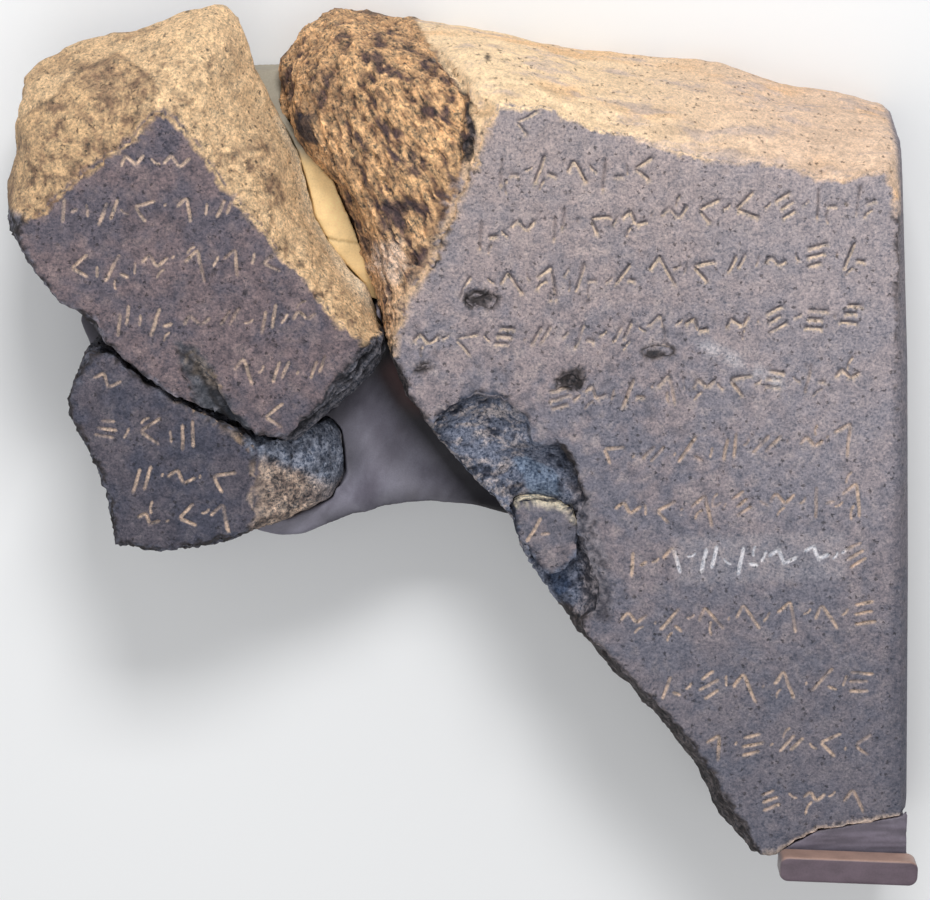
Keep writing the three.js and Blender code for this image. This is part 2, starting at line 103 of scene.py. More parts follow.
def layered(points, size, seed, octaves=4, keep=0.5, form=lambda bumps: bumps):
    """Noise of several sizes, each half as wide as the one before and keep times as high."""
    total = np.zeros(len(points))
    for octave in range(octaves):
        points = points @ TURN
        total += keep**octave * form(noise(points, size / 2**octave, seed + octave))
    return total


def crags(points, size, seed, octaves=4, keep=0.5):
    """Layered noise with sharp crests."""
    return layered(points, size, seed, octaves, keep, lambda bumps: 1 - 2.4 * np.abs(bumps))


def specks(points, size, seed):
    """Distance to the nearest of points scattered one to a cell, in cells, and its own fraction."""
    where = points / size
    cell = np.floor(where).astype(np.int64)
    nearest = np.full(len(points), 9.0)
    own = np.zeros(len(points))
    for step in np.ndindex(3, 3, 3):
        at = cell + np.array(step) - 1
        spot = at + np.stack([scatter(at, seed + axis) for axis in range(3)], axis=1)
        away = np.linalg.norm(where - spot, axis=1)
        closer = away < nearest
        nearest = np.where(closer, away, nearest)
        own = np.where(closer, scatter(at, seed + 3), own)
    return nearest, own


def ramp(low, high, value):
    """0 below low, 1 above high, and smooth between."""
    t = np.clip((value - low) / (high - low), 0, 1)
    return t * t * (3 - 2 * t)


# ---- places on the plan


def to_segments(spots, starts, ends):
    """Distance from each spot (x, y) to the nearest of some segments."""
    nearest = np.full(len(spots), 1e9)
    for start, end in zip(starts, ends):
        along = end - start
        t = np.clip((spots - start) @ along / max(along @ along, 1e-12), 0, 1)
        nearest = np.minimum(nearest, np.linalg.norm(spots - start - t[:, None] * along, axis=1))
    return nearest


def within(spots, starts, ends):
    """True for each spot inside the closed line made of some segments."""
    odd = np.zeros(len(spots), bool)
    for (x0, y0), (x1, y1) in zip(starts, ends):
        crosses = (y0 > spots[:, 1]) != (y1 > spots[:, 1])
        if y0 != y1:
            odd ^= crosses & (spots[:, 0] < x0 + (spots[:, 1] - y0) * (x1 - x0) / (y1 - y0))
    return odd


def area(points, outline, soft):
    """1 inside an outline on the plan, 0 outside, blended over soft on either side."""
    ring = np.array(outline, float)
    ends = np.roll(ring, -1, axis=0)
    spots = points[:, :2]
    depth = to_segments(spots, ring, ends) * np.where(within(spots, ring, ends), 1, -1)
    return ramp(-soft, soft, depth)


def line(points, path, reach):
    """1 on an open line on the plan, falling to 0 at reach."""
    track = np.array(path, float)
    return 1 - ramp(0, reach, to_segments(points[:, :2], track[:-1], track[1:]))


def stroke_map(strokes, low, high, reach):
    """A function that gives the distance from each spot (x, y) to the nearest stroke."""
    shape = np.ceil((high - low) / MAP_STEP).astype(int) + 2
    grid = np.full(shape, float(reach))
    for start, end in strokes:
        first = np.floor((np.minimum(start, end) - reach - low) / MAP_STEP).astype(int)
        last = np.ceil((np.maximum(start, end) + reach - low) / MAP_STEP).astype(int)
        first, last = np.maximum(first, 0), np.minimum(last, shape - 1)
        window = np.stack(np.meshgrid(*[np.arange(a, b + 1) for a, b in zip(first, last)],
                                      indexing="ij"), axis=-1)
        spots = low + window.reshape(-1, 2) * MAP_STEP
        away = to_segments(spots, [start], [end]).reshape(window.shape[:2])
        part = grid[first[0]:last[0] + 1, first[1]:last[1] + 1]
        np.minimum(part, away, out=part)

    def sample(spots):
        where = np.clip((spots - low) / MAP_STEP, 0, shape - 1.001)
        cell = where.astype(int)
        u, v = (where - cell).T
        i, j = cell.T
        return ((1 - u) * (1 - v) * grid[i, j] + u * (1 - v) * grid[i + 1, j]
                + (1 - u) * v * grid[i, j + 1] + u * v * grid[i + 1, j + 1])

    return sample


# ---- meshes as arrays


def cad_mesh(node):
    """The vertices of a CAD node, each one once, and its triangles."""
    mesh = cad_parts[node].data
    mesh.calc_loop_triangles()
    spots = np.empty(len(mesh.vertices) * 3, np.float32)
    mesh.vertices.foreach_get("co", spots)
    corners = np.empty(len(mesh.loop_triangles) * 3, np.int32)
    mesh.loop_triangles.foreach_get("vertices", corners)
    rounded = np.round(spots.reshape(-1, 3).astype(float) / MM, 3)
    points, same = np.unique(rounded, axis=0, return_inverse=True)
    return points, same.ravel()[corners].reshape(-1, 3)


def sides_of(faces):
    """Each face's three sides as numbers in the list of different edges, and that list."""
    pairs = np.sort(np.stack([faces, np.roll(faces, -1, axis=1)], axis=-1), axis=-1)
    keys = pairs[..., 0].astype(np.int64) * (faces.max() + 1) + pairs[..., 1]
    different, index = np.unique(keys, return_inverse=True)
    edges = np.stack(np.divmod(different, faces.max() + 1), axis=1)
    return index.reshape(-1, 3), edges


def refine(points, faces, tags, wanted):
    """Halves longest edges until each is about as short as wanted(middles, tags) says."""
    while True:
        sides, edges = sides_of(faces)
        lengths = np.linalg.norm(points[edges[:, 0]] - points[edges[:, 1]], axis=1)
        longest = np.argmax(lengths[sides], axis=1)
        rows = np.arange(len(faces))
        main = sides[rows, longest]
        middles = points[faces].mean(axis=1)
        marked = np.zeros(len(edges), bool)
        marked[main[lengths[main] > wanted(middles, tags)]] = True
        if not marked.any():
            return points, faces, tags
        while True:
            needs = marked[sides].any(axis=1) & ~marked[main]
            if not needs.any():
                break
            marked[main[needs]] = True
        added = np.cumsum(marked) - 1 + len(points)
        points = np.concatenate([points, points[edges[marked]].mean(axis=1)])
        turned = (longest[:, None] + np.arange(3)) % 3
        a, b, c = faces[rows[:, None], turned].T
        ab, bc, ca = sides[rows[:, None], turned].T
        split, at_bc, at_ca = marked[ab], marked[bc], marked[ca]
        m, n, o = added[ab], added[bc], added[ca]
        cases = [
            (~split, (a, b, c)),
            (split & ~at_ca, (a, m, c)),
            (split & at_ca, (a, m, o)),
            (split & at_ca, (o, m, c)),
            (split & ~at_bc, (m, b, c)),
            (split & at_bc, (m, b, n)),
            (split & at_bc, (m, n, c)),
        ]
        faces = np.concatenate([np.stack(corners, axis=1)[rule] for rule, corners in cases])
        tags = np.concatenate([tags[rule] for rule, _ in cases])


def normals_of(points, faces):
    across = np.cross(points[faces[:, 1]] - points[faces[:, 0]],
                      points[faces[:, 2]] - points[faces[:, 0]])
    total = np.stack([np.bincount(faces.ravel(), np.repeat(across[:, axis], 3), len(points))
                      for axis in range(3)], axis=1)
    return total / np.maximum(np.linalg.norm(total, axis=1, keepdims=True), 1e-12)


def upward_of(points, faces):
    """The upward part of each face's normal."""
    corners = points[faces]
    across = np.cross(corners[:, 1] - corners[:, 0], corners[:, 2] - corners[:, 0])
    return across[:, 2] / np.maximum(np.linalg.norm(across, axis=1), 1e-12)


def smooth(points, faces, free, rounds):
    """Moves each free vertex towards the middle of its neighbours, a number of times."""
    _, edges = sides_of(faces)
    a, b = edges.T
    count = np.bincount(a, minlength=len(points)) + np.bincount(b, minlength=len(points))
    for _ in range(rounds):
        middle = np.stack([np.bincount(a, points[b, axis], len(points))
                           + np.bincount(b, points[a, axis], len(points))
                           for axis in range(3)], axis=1) / np.maximum(count, 1)[:, None]
        points = points + 0.6 * free[:, None] * (middle - points)
    return points


def touched(faces, chosen, count):
    """True for each vertex that one of the chosen faces uses."""
    found = np.zeros(count, bool)
    found[faces[chosen].ravel()] = True
    return found


# ---- the dressed face

FACE_TAG, BREAK_TAG, SIDE_TAG, BACK_TAG = range(4)
BACK_SLOPE, SIDE_SLOPE = -0.9, 0.06   # a face's normal rises less than this on back or side


def kinds_of(points, faces):
    """A tag for each face off the dressed face, by its slope."""
    upward = upward_of(points, faces)
    return np.select([upward < BACK_SLOPE, upward < SIDE_SLOPE], [BACK_TAG, SIDE_TAG], BREAK_TAG)


def find_face(points, faces, height):
    """Which triangles are the dressed face with its strokes, and the strokes' bottom lines."""
    upward, low = upward_of(points, faces), points[faces][..., 2].min(axis=1)
    flat = (low > height - 0.02) & (upward > 0.99)
    walls = (low > height - CUT_DEPTH - 0.02) & ~flat
    walls &= np.min([np.abs(upward - slope) for slope in CUT_SLOPES], axis=0) < 0.02
    _, edges = sides_of(faces[walls])
    bottom = np.abs(points[edges][..., 2] - height + CUT_DEPTH).max(axis=1) < 0.01
    return flat | walls, points[edges[bottom]][..., :2]


def groups_of(strokes):
    """A number for each stroke, the same for strokes that stand close together."""
    middles = strokes.mean(axis=1)
    near = np.linalg.norm(middles[:, None] - middles, axis=2) < GROUP_REACH
    group = np.arange(len(strokes))
    while True:
        least = np.where(near, group, len(group)).min(axis=1)
        if (least == group).all():
            return group
        group = least


def bent(spot, heading, length, turn, steps):
    """A stroke of a number of straight steps that turns on its way, as pairs of points."""
    angles = math.radians(heading) + np.arange(steps) * math.radians(turn) / steps
    ways = np.stack([np.cos(angles), np.sin(angles)], axis=1) * length / steps
    path = spot + np.concatenate([[[0, 0]], np.cumsum(ways, axis=0)])
    path -= path.mean(axis=0) - spot
    return np.stack([path[:-1], path[1:]], axis=1)


def marks_between(strokes, starts, ends, seed):
    """Lesser marks that fill up the rows: one between a group of strokes and the next, and a tail
    below or above some groups."""
    if not len(strokes):
        return strokes
    group = groups_of(strokes)
    middles = np.array([strokes[group == one].reshape(-1, 2).mean(axis=0)
                        for one in np.unique(group)])
    marks = []
    for number, middle in enumerate(middles):
        chance = scatter(np.array([[number, part, seed] for part in range(8)]), seed + 60)
        away = middles - middle
        follows = (away[:, 0] > ROW_STEP[0]) & (away[:, 0] < ROW_STEP[1]) & (abs(away[:, 1]) < 5)
        if follows.any():
            step = away[follows][np.argmin(away[follows][:, 0])]
            spot = middle + step * (0.44 + 0.12 * chance[0]) + (0, 3 * chance[1] - 1.5)
            kind = [(60, 0.9, 0, 1), (75, 3.8, 12, 2), (20, 3.0, 60, 3), (150, 3.2, -50, 3)][
                int(chance[2] * 4)]
            marks.append(bent(spot, kind[0] + 40 * chance[3] - 20, *kind[1:]))
        tail = middle + (5 * chance[4] - 2.5, -4.6 if chance[5] > 0.35 else 4.4)
        marks.append(bent(tail, 200 + 60 * chance[6], 3.2 + 2 * chance[7], 50, 3))
    kept = []
    for mark in marks:
        ends_of = mark.reshape(-1, 2)
        clear = to_segments(ends_of, strokes[:, 0], strokes[:, 1]).min() > MARK_ROOM
        room = to_segments(ends_of, starts, ends).min() > 1.5 * MARK_ROOM
        if clear and room and within(ends_of, starts, ends).all():
            kept.append(mark)
    return np.concatenate(kept) if kept else strokes[:0]


def cut_lines(strokes, half):
    """The middle and the outline of each stroke, as points and as pairs of their numbers."""
    starts, ends = strokes[:, 0], strokes[:, 1]
    lengths = np.linalg.norm(ends - starts, axis=1, keepdims=True)
    tip = (ends - starts) / np.maximum(lengths, 1e-9) * half
    side = np.stack([-tip[:, 1], tip[:, 0]], axis=1)
    spots = np.stack([starts, ends, starts - tip, starts + side, ends + side, ends + tip,
                      ends - side, starts - side], axis=1)
    pairs = np.array([(0, 1), (2, 3), (3, 4), (4, 5), (5, 6), (6, 7), (7, 2)])
    numbers = np.arange(len(strokes))[:, None, None] * spots.shape[1] + pairs
    return spots, numbers


def rim_lines(points, inner_faces, outer_faces):
    """The edges that two groups of faces share."""
    inner, outer = sides_of(inner_faces)[1], sides_of(outer_faces)[1]
    return np.array(sorted(set(map(tuple, inner)) & set(map(tuple, outer))))


def loose_points(starts, ends, lines, seed):
    """Points spread unevenly inside a rim and clear of some lines."""
    low, high = np.minimum(starts, ends).min(axis=0), np.maximum(starts, ends).max(axis=0)
    counts = np.ceil((high - low) / FACE_PITCH).astype(int)
    grid = np.stack(np.meshgrid(*map(np.arange, counts), indexing="ij"), axis=-1).reshape(-1, 2)
    places = np.column_stack([grid, np.zeros(len(grid), int)])
    jitter = np.stack([scatter(places, seed + axis) for axis in range(2)], axis=1)
    spots = low + (grid + 0.2 + 0.6 * jitter) * FACE_PITCH
    room = to_segments(spots, starts, ends)
    spots = spots[within(spots, starts, ends) & (room > 0.35 * FACE_PITCH)]
    return spots[to_segments(spots, lines[:, 0], lines[:, 1]) > 0.4 * FACE_PITCH]


def relay_face(points, faces, on_face, strokes, marks, seed):
    """Lays even triangles over the dressed face in place of the CAD's, with lines of points down
    the middle and round the outline of each stroke and mark."""
    rest = faces[~on_face]
    rim = rim_lines(points, faces[on_face], rest)
    starts, ends = points[rim[:, 0], :2], points[rim[:, 1], :2]
    used, ring = np.unique(rim, return_inverse=True)
    plan, edges = [points[used, :2]], [ring.reshape(-1, 2)]
    for lines, half in ((strokes, CUT_HALF), (marks, MARK_HALF)):
        corners, pairs = cut_lines(lines, half)
        room = to_segments(corners.reshape(-1, 2), starts, ends).reshape(corners.shape[:2])
        clear = room.min(axis=1) > RIM_ROOM
        pairs = np.concatenate([pairs[:, :1].reshape(-1, 2), pairs[clear, 1:].reshape(-1, 2)])
        edges.append(pairs + sum(map(len, plan)))
        plan.append(corners.reshape(-1, 2))
    plan.append(loose_points(starts, ends, np.concatenate([strokes, marks]), seed))
    plan, edges = np.concatenate(plan), np.concatenate(edges)
    keep = within(plan, starts, ends) | np.isin(np.arange(len(plan)), edges)
    number = np.cumsum(keep) - 1
    flat, _, laid, origins, _, _ = geometry.delaunay_2d_cdt(
        [Vector(spot) for spot in plan[keep]], number[edges].tolist(), [], 0, 1e-4)
    flat, laid = np.array(flat), np.array(laid)
    laid = laid[within(flat[laid].mean(axis=1), starts, ends)]
    number = np.arange(len(flat)) + len(points)
    for spot, sources in enumerate(origins):
        known = [source for source in sources if source < len(used)]
        if known:
            number[spot] = used[known[0]]
    fresh = np.column_stack([flat, np.full(len(flat), points[used, 2].max())])
    return np.concatenate([points, fresh]), rest, number[laid]


def pack(points, *groups):
    """Drops the vertices that no face uses."""
    used, index = np.unique(np.concatenate([group.ravel() for group in groups]),
                            return_inverse=True)
    faces = index.reshape(-1, 3)
    return points[used], faces


# ---- colours


def rgb(red, green, blue):
    """A screen colour, each part from 0 to 255, as linear light."""
    parts = np.array([red, green, blue]) / 255
    return np.where(parts <= 0.04045, parts / 12.92, ((parts + 0.055) / 1.055) ** 2.4)


PATINA_WARM = rgb(147, 136, 141)
PATINA_COOL = rgb(121, 120, 133)
PATINA_DARK_AND_SHADE = rgb(92, 94, 108)
PATINA_PALE = rgb(176, 164, 164)
GOLD = rgb(230, 202, 166)
GOLD_PINK = rgb(208, 180, 160)
GOLD_ORANGE = rgb(216, 172, 126)
GOLD_GREY = rgb(180, 164, 158)
TAN = rgb(202, 170, 132)
TAN_DARK = rgb(122, 99, 82)
ROUGH_TAN = rgb(208, 168, 126)
ROUGH_DARK = rgb(92, 70, 58)
ROUGH_BLACK = rgb(64, 54, 62)
PALE_PATCH = rgb(204, 184, 172)
SCAR = rgb(106, 113, 132)
SCAR_DARK = rgb(32, 37, 52)
SCAR_TAN = rgb(166, 158, 160)
SCAR_BLUE = rgb(106, 122, 146)
BREAK_DARK = rgb(46, 42, 44)
BREAK_LIGHT = rgb(94, 88, 91)
CHALK = rgb(206, 206, 214)
PLASTER = rgb(232, 220, 196)
CUT_DUST = rgb(196, 174, 158)
CUT_HIGHLIGHT = rgb(226, 202, 176)
CUT_SHADE = rgb(58, 60, 74)
FOOT_BLUE = rgb(60, 78, 108)
FACE_TOP_LIT = rgb(184, 170, 168)
FACE_RIGHT_LIT = rgb(166, 160, 168)
SPECK_DARK = rgb(50, 50, 60)
SPECK_PALE = rgb(134, 130, 138)
EDGE_TAN = rgb(212, 180, 148)
EDGE_PINK = rgb(232, 212, 200)
PLASTER_AND_LIGHT = rgb(246, 232, 206)
BAND_DARK = rgb(30, 31, 38)
BAND_PALE = rgb(104, 104, 114)
LEDGE_DARK = rgb(38, 44, 54)
LEDGE_PALE = rgb(92, 94, 102)
GRAIN_DARK = rgb(52, 57, 70)
GRAIN_PALE = rgb(122, 129, 146)
FACET_DARK = rgb(92, 82, 80)
FACET_PALE = rgb(184, 164, 150)
FACET_RIM = rgb(206, 198, 194)
FILL_HIGHLIGHT = rgb(132, 130, 142)


def grade(low, high, share):
    """From one colour to another, by a share for each point."""
    return low + (high - low) * share[:, None]


def blend(under, over, share):
    """Lays one colour over another, by a share for each point."""
    return under + (np.broadcast_to(over, under.shape) - under) * share[:, None]


# ---- stones


class Stone:
    """A fragment's CAD node, meshed finely: its vertices, faces and what is known of each."""

    def __init__(self, node, seed):
        points, faces = cad_mesh(node)
        self.node, self.seed = node, seed
        self.height = points[:, 2].max()
        on_face, strokes = find_face(points, faces, self.height)
        rim = points[rim_lines(points, faces[on_face], faces[~on_face])][..., :2]
        marks = marks_between(strokes, rim[:, 0], rim[:, 1], seed)
        points, rest, laid = relay_face(points, faces, on_face, strokes, marks, seed)
        kinds = kinds_of(points, rest)
        points, faces = pack(points, laid, rest)
        tags = np.concatenate([np.full(len(laid), FACE_TAG), kinds])
        low, high = points[:, :2].min(axis=0) - 8, points[:, :2].max(axis=0) + 8
        self.to_stroke = stroke_map(strokes, low, high, CUT_REACH)
        self.to_mark = stroke_map(marks, low, high, CUT_REACH)
        self.to_rim = stroke_map(rim, low, high, RIM_REACH)
        points, faces, tags = refine(points, faces, tags,
                                     lambda middles, kind: np.where(kind == BACK_TAG, 12, 3.6))
        free = ~touched(faces, (tags == FACE_TAG) | (tags == BACK_TAG), len(points))
        points = smooth(points, faces, free.astype(float), SMOOTH_ROUNDS)
        self.points, self.faces, self.tags = refine(points, faces, tags, self.wanted)
        self.on_face = touched(self.faces, self.tags == FACE_TAG, len(self.points))
        self.on_break = touched(self.faces, self.tags != FACE_TAG, len(self.points))
        self.on_back = touched(self.faces, self.tags == BACK_TAG, len(self.points))

    def wanted(self, middles, tags):
        away = np.minimum(self.to_stroke(middles[:, :2]), self.to_mark(middles[:, :2]))
        face = np.clip(CUT_EDGE + 0.6 * (away - 1), CUT_EDGE, FACE_EDGE)
        side = np.clip(SIDE_EDGE[0] + 0.25 * (self.height - 4 - middles[:, 2]), *SIDE_EDGE)
        return np.choose(tags, [face, BREAK_EDGE, side, BACK_EDGE])

    def dress(self, break_form, dressed_side=None):
        """Gives the face its worn tooling and strokes, and the breaks their own relief."""
        points, seed = self.points, self.seed
        plan = points[:, :2]
        stroke, mark, rim = self.to_stroke(plan), self.to_mark(plan), self.to_rim(plan)
        below = self.height - points[:, 2]
        straight = dressed_side(points) if dressed_side else np.zeros(len(points))
        worn = CUT_DEPTH * (0.8 + 0.3 * noise(points, 9, seed + 20))
        groove, scratch = np.clip(1 - stroke / CUT_HALF, 0, 1), np.clip(1 - mark / MARK_HALF, 0, 1)
        sunk = np.maximum(worn * groove, MARK_DEPTH * scratch)
        self.cut = np.maximum(groove, scratch) * self.on_face
        self.near_cut = (1 - ramp(0.15, 0.55, np.minimum(stroke - CUT_HALF, mark - MARK_HALF)))
        tooling = (0.22 * noise(points, 28, seed + 22) + 0.13 * noise(points, 7, seed + 23)
                   + 0.11 * layered(points, 3, seed + 24, 2, 0.7))
        spot, own = specks(points, 9, seed + 25)
        jagged = spot + 0.07 * layered(points, 2, seed + 26, 2)
        self.pit = (1 - ramp(0.03, 0.05 + 0.09 * own, jagged)) * (own > 0.5) * self.on_face
        rounding = 0.5 * (1 - ramp(0, 1.8, rim + 0.8 * noise(points, 3, seed + 27)))
        face_rise = tooling - sunk - 0.6 * self.pit - rounding
        normals = normals_of(points, self.faces)
        amount, relief = break_form(points, normals)
        self.relief = np.where(self.on_face, 0, relief)
        amount = amount * ramp(-0.5, 3, np.where(self.on_face, 0, below)) * (1 - straight)
        moved = points + normals * (amount * ~self.on_face * ~self.on_back)[:, None]
        moved[:, 2] += face_rise * self.on_face
        near_rim = np.where(self.on_face, 1 - ramp(0, RIM_REACH, rim), 1 - ramp(0, 14, below))
        for size, reach, all_over in ((9, 0.9, 0), (4.2, 0.7, 0.3), (2.1, 0.6, 0.1)):
            drift = np.stack([noise(points, size, seed + int(10 * size) + axis)
                              for axis in range(2)], axis=1)
            strength = (all_over + (1 - all_over) * near_rim) * (1 - straight) * ~self.on_back
            moved[:, :2] += reach * drift * strength[:, None]
        self.rest, self.points = points, moved
        self.normals = normals_of(moved, self.faces)
        self.rim, self.below, self.straight = rim, below, straight
        ragged = [1.1 * layered(points, 4.5, seed + 28 + axis, 2, 0.7) for axis in range(2)]
        self.wavy = points + np.column_stack([*ragged, np.zeros(len(points))])

    def grain(self, size, seed, octaves, keep, shaped=None):
        """Fine noise for the colours, which fades down the sides as their triangles grow."""
        bumps = layered(self.rest if shaped is None else shaped, size, self.seed + seed, octaves, keep)
        return bumps * (1 - 0.8 * ramp(8, 26, self.below))

    def place(self, outline, soft, depth=60):
        """An outline on the plan with ragged edges, down to a depth below the face."""
        return area(self.wavy, outline, soft) * (1 - ramp(0.6 * depth, depth, self.below))

    def inscribe(self, colour, dusty):
        """Grooves with painted shade along their middles and on their walls that face down, and a
        painted highlight on their walls that face up, or filled with pale dust.
        """
        facing, near = self.normals[:, 1], self.near_cut * self.on_face
        patchy = ramp(-0.9, 0.5, layered(self.rest, 7, self.seed + 43, 3, 0.7))
        # painted shade along the grooves' middles and on their walls that face down; painted highlight
        # on their walls that face up
        shade = np.maximum(ramp(0.02, -0.28, facing) * near, ramp(0.35, 0.85, self.cut) * 0.8)
        colour = blend(colour, CUT_SHADE, shade * (1 - dusty) * (0.45 + 0.4 * patchy))
        colour = blend(colour, CUT_HIGHLIGHT, ramp(0.06, 0.3, facing) * near * (1 - dusty)
                       * (0.35 + 0.45 * patchy))
        dust = ramp(0.05, 0.6, self.cut) * (0.3 + 0.65 * patchy)
        return blend(colour, CUT_DUST, dust * dusty)

    def worn_border(self, broken, face):
        """The face's colour over the break's, with a ragged line where they meet."""
        ragged = layered(self.rest, 3.4, self.seed + 44, 3, 0.7)
        over = np.where(self.on_face, ramp(0.1, 1.2, self.rim + ragged),
                        1 - ramp(0, 1, self.below + 0.5 * ragged))
        return blend(broken, face, np.maximum(over, self.straight))

    def patina_and_shade(self):
        """The colour of the dressed face: mottled and chalky in places, with painted shade in its pits
        and painted shade that darkens and cools it towards the foot.
        """
        points, seed = self.rest, self.seed
        mottle = ramp(-0.8, 0.8, layered(points, 14, seed + 40, 5, 0.75))
        colour = blend(np.tile(PATINA_COOL, (len(points), 1)), PATINA_WARM, mottle)
        grit = self.grain(3.2, 46, 2, 0.8)
        colour = blend(colour, PATINA_PALE, ramp(0.2, 1, grit) * 0.5)
        colour = blend(colour, PATINA_DARK_AND_SHADE * 0.75, ramp(-0.2, -1, grit) * 0.5)
        # painted shade: the pits darkened, and the face darker and cooler towards the foot
        colour = blend(colour, PATINA_DARK_AND_SHADE * 0.4, self.pit * 0.8)
        return blend(colour, PATINA_DARK_AND_SHADE, ramp(60, -150, points[:, 1]) * 0.75)


def along(points, heading, ratio):
    """The points squeezed along a heading on the plan, so that noise there runs out ratio times
    as long that way."""
    turn = math.radians(heading)
    way = np.array([math.cos(turn), math.sin(turn), 0])
    return points - np.outer(points @ way, way) * (1 - 1 / ratio)


def signed(value):
    return np.clip(value, -1, 1)


# The large fragment: the places of its breaks, stains and painted shade on the plan.
ROUGH_MASS = [(-80, 172), (-21, 158), (-14, 147), (-5, 139), (1, 129), (1, 117), (-1, 107),
              (-6, 87), (-15, 68), (-21, 58), (-26, 45), (-27, 36), (-60, 36), (-95, 120)]
GOLD_TOP = [(-21, 158), (-14, 147), (-5, 139), (2, 129), (5, 116), (3, 105), (170, 88),
            (190, 90), (190, 165), (60, 190)]
SCARS = [(-14, 17), (-5, 22), (11, 24), (19, 18), (34, 5), (43, -13), (49, -32), (46, -45),
         (44, -60), (30, -62), (-4, -22)]
SCAR_RIM = [(-12, 17), (-4, 21), (10, 22), (20, 17), (33, 6), (38, -6), (46, -20), (48, -34)]
BLUE_FLAKE = [(18, -5), (23, -3), (34, -10), (36, -19), (25, -19)]
BLUE_FOOT = [(30, -43), (39, -45), (39, -56), (34, -56)]
SPECKLED = [(38, -12), (46, -14), (53, -40), (55, -64), (42, -62), (41, -44), (42, -30)]
SMOOTH_PATCH = [(-36, 75), (-24, 79), (-19, 68), (-25, 62), (-35, 64)]
HOLLOW = [(-63, 122), (-56, 124), (-54, 112), (-59, 111)]
CRACK = [(-12, 146), (-5, 139), (1.5, 129), (2, 118), (0.5, 107)]
TOP_HOLE = (8.5, 143.5)
FACE_LEFT = [(9, 122), (4, 111), (-1, 99), (-6, 86), (-15, 68), (-21, 58), (-26, 45), (-27, 38)]
PITS = [((39.2, 27.3), (4.2, 2.2)), ((70.3, 36.9), (4.6, 1.6)), ((5.5, 57.4), (6, 2)),
        ((-17, 31), (2.6, 1.3))]   # the middles and half sizes of the pits in the face
FOOT_LINE = [(114, -155), (118, -153.5), (134, -145.5), (148, -142.5), (164, -140)]
SMEAR = [(86, 41), (98, 36), (108, 30), (115, 27)]
CHALKED = [(78, -32), (142, -30), (142, -48), (78, -50)]
DRESSED_SIDE = 157       # x past which the break ends and the dressed side begins


def dressed_side(points):
    return ramp(DRESSED_SIDE, DRESSED_SIDE + 4, points[:, 0])


def large_form(points, normals):
    rough, gold = area(points, ROUGH_MASS, 2), area(points, GOLD_TOP, 2)
    scar = area(points, SCARS, 1.5)
    flake = np.clip(area(points, BLUE_FLAKE, 1) + area(points, BLUE_FOOT, 1), 0, 1)
    slanted, level = along(points, -58, 3), along(points, 4, 3)
    coarse = 0.8 * layered(slanted, 9, 301, 3, 0.6) + 0.6 * crags(slanted, 3.6, 305, 3, 0.7)
    fine = layered(level, 9, 302, 3, 0.6) + 0.4 * crags(level, 3.4, 306, 2, 0.7)
    streaks = 0.6 * crags(level, 7, 303, 2) + 0.8 * crags(along(points, 10, 2), 3, 307, 2, 0.8)
    plain = layered(points, 8, 304, 4, 0.62) + 0.3 * crags(points, 3, 308, 2)
    other = np.clip(1 - rough - gold - scar, 0, 1)
    amount = rough * 1.1 * coarse + gold * 0.5 * fine + scar * 0.6 * streaks * (1 - 0.8 * flake)
    amount += other * 0.8 * plain - 1.6 * line(points, CRACK, 3) * rough
    relief = rough * coarse + gold * fine + scar * streaks + other * plain
    return amount, signed(relief)


def rough_colour(stone):
    points, relief, seed = stone.rest, stone.relief, stone.seed
    slanted = along(points, -58, 3.4)
    patch = layered(along(points, -58, 2), 6.5, seed + 51, 3, 0.8) + 0.25 * relief
    fibre = stone.grain(2, 55, 2, 0.9, slanted) + 0.35 * relief
    colour = grade(ROUGH_DARK, ROUGH_TAN, ramp(-0.9, 1, fibre + 0.3 * patch))
    colour = blend(colour, ROUGH_BLACK, ramp(0, -0.9, patch + 0.5 * fibre) * 0.75)
    low = ramp(95, 50, points[:, 1])
    colour = blend(colour, PALE_PATCH, low * ramp(-0.6, 1, fibre) * 0.35)
    colour = blend(colour, PALE_PATCH, stone.place(SMOOTH_PATCH, 2) * ramp(-1, 0.4, fibre) * 0.6)
    # painted shade in the hollow
    colour = blend(colour, SCAR_DARK, stone.place(HOLLOW, 1) * 0.85)
    # painted shadow along the step at the crack
    return blend(colour, ROUGH_BLACK, line(stone.wavy, CRACK, 1.9) * ramp(-1.2, 0.2, fibre) * 0.9)


def gold_colour(stone):
    points, seed = stone.rest, stone.seed
    level = along(points, 4, 3.5)
    grain = stone.grain(3, 57, 3, 0.85, level) + 0.4 * stone.relief
    colour = grade(GOLD, GOLD_PINK, ramp(20, 130, points[:, 0]) * 0.8)
    colour = blend(colour, GOLD_ORANGE, ramp(0, 1.1, layered(level, 16, seed + 58, 3, 0.6)) * 0.6)
    colour = blend(colour, GOLD_GREY, ramp(0.1, 1.2, layered(level, 7, seed + 52, 4, 0.8)) * 0.7)
    colour = colour * (1 + 0.16 * np.clip(grain, -1.6, 1))[:, None]
    # painted shade in the small hole in the top break
    hole_shade = 1 - ramp(0.6, 1.5, np.linalg.norm(points[:, :2] - TOP_HOLE, axis=1))
    return blend(colour, BREAK_DARK, hole_shade * 0.9)


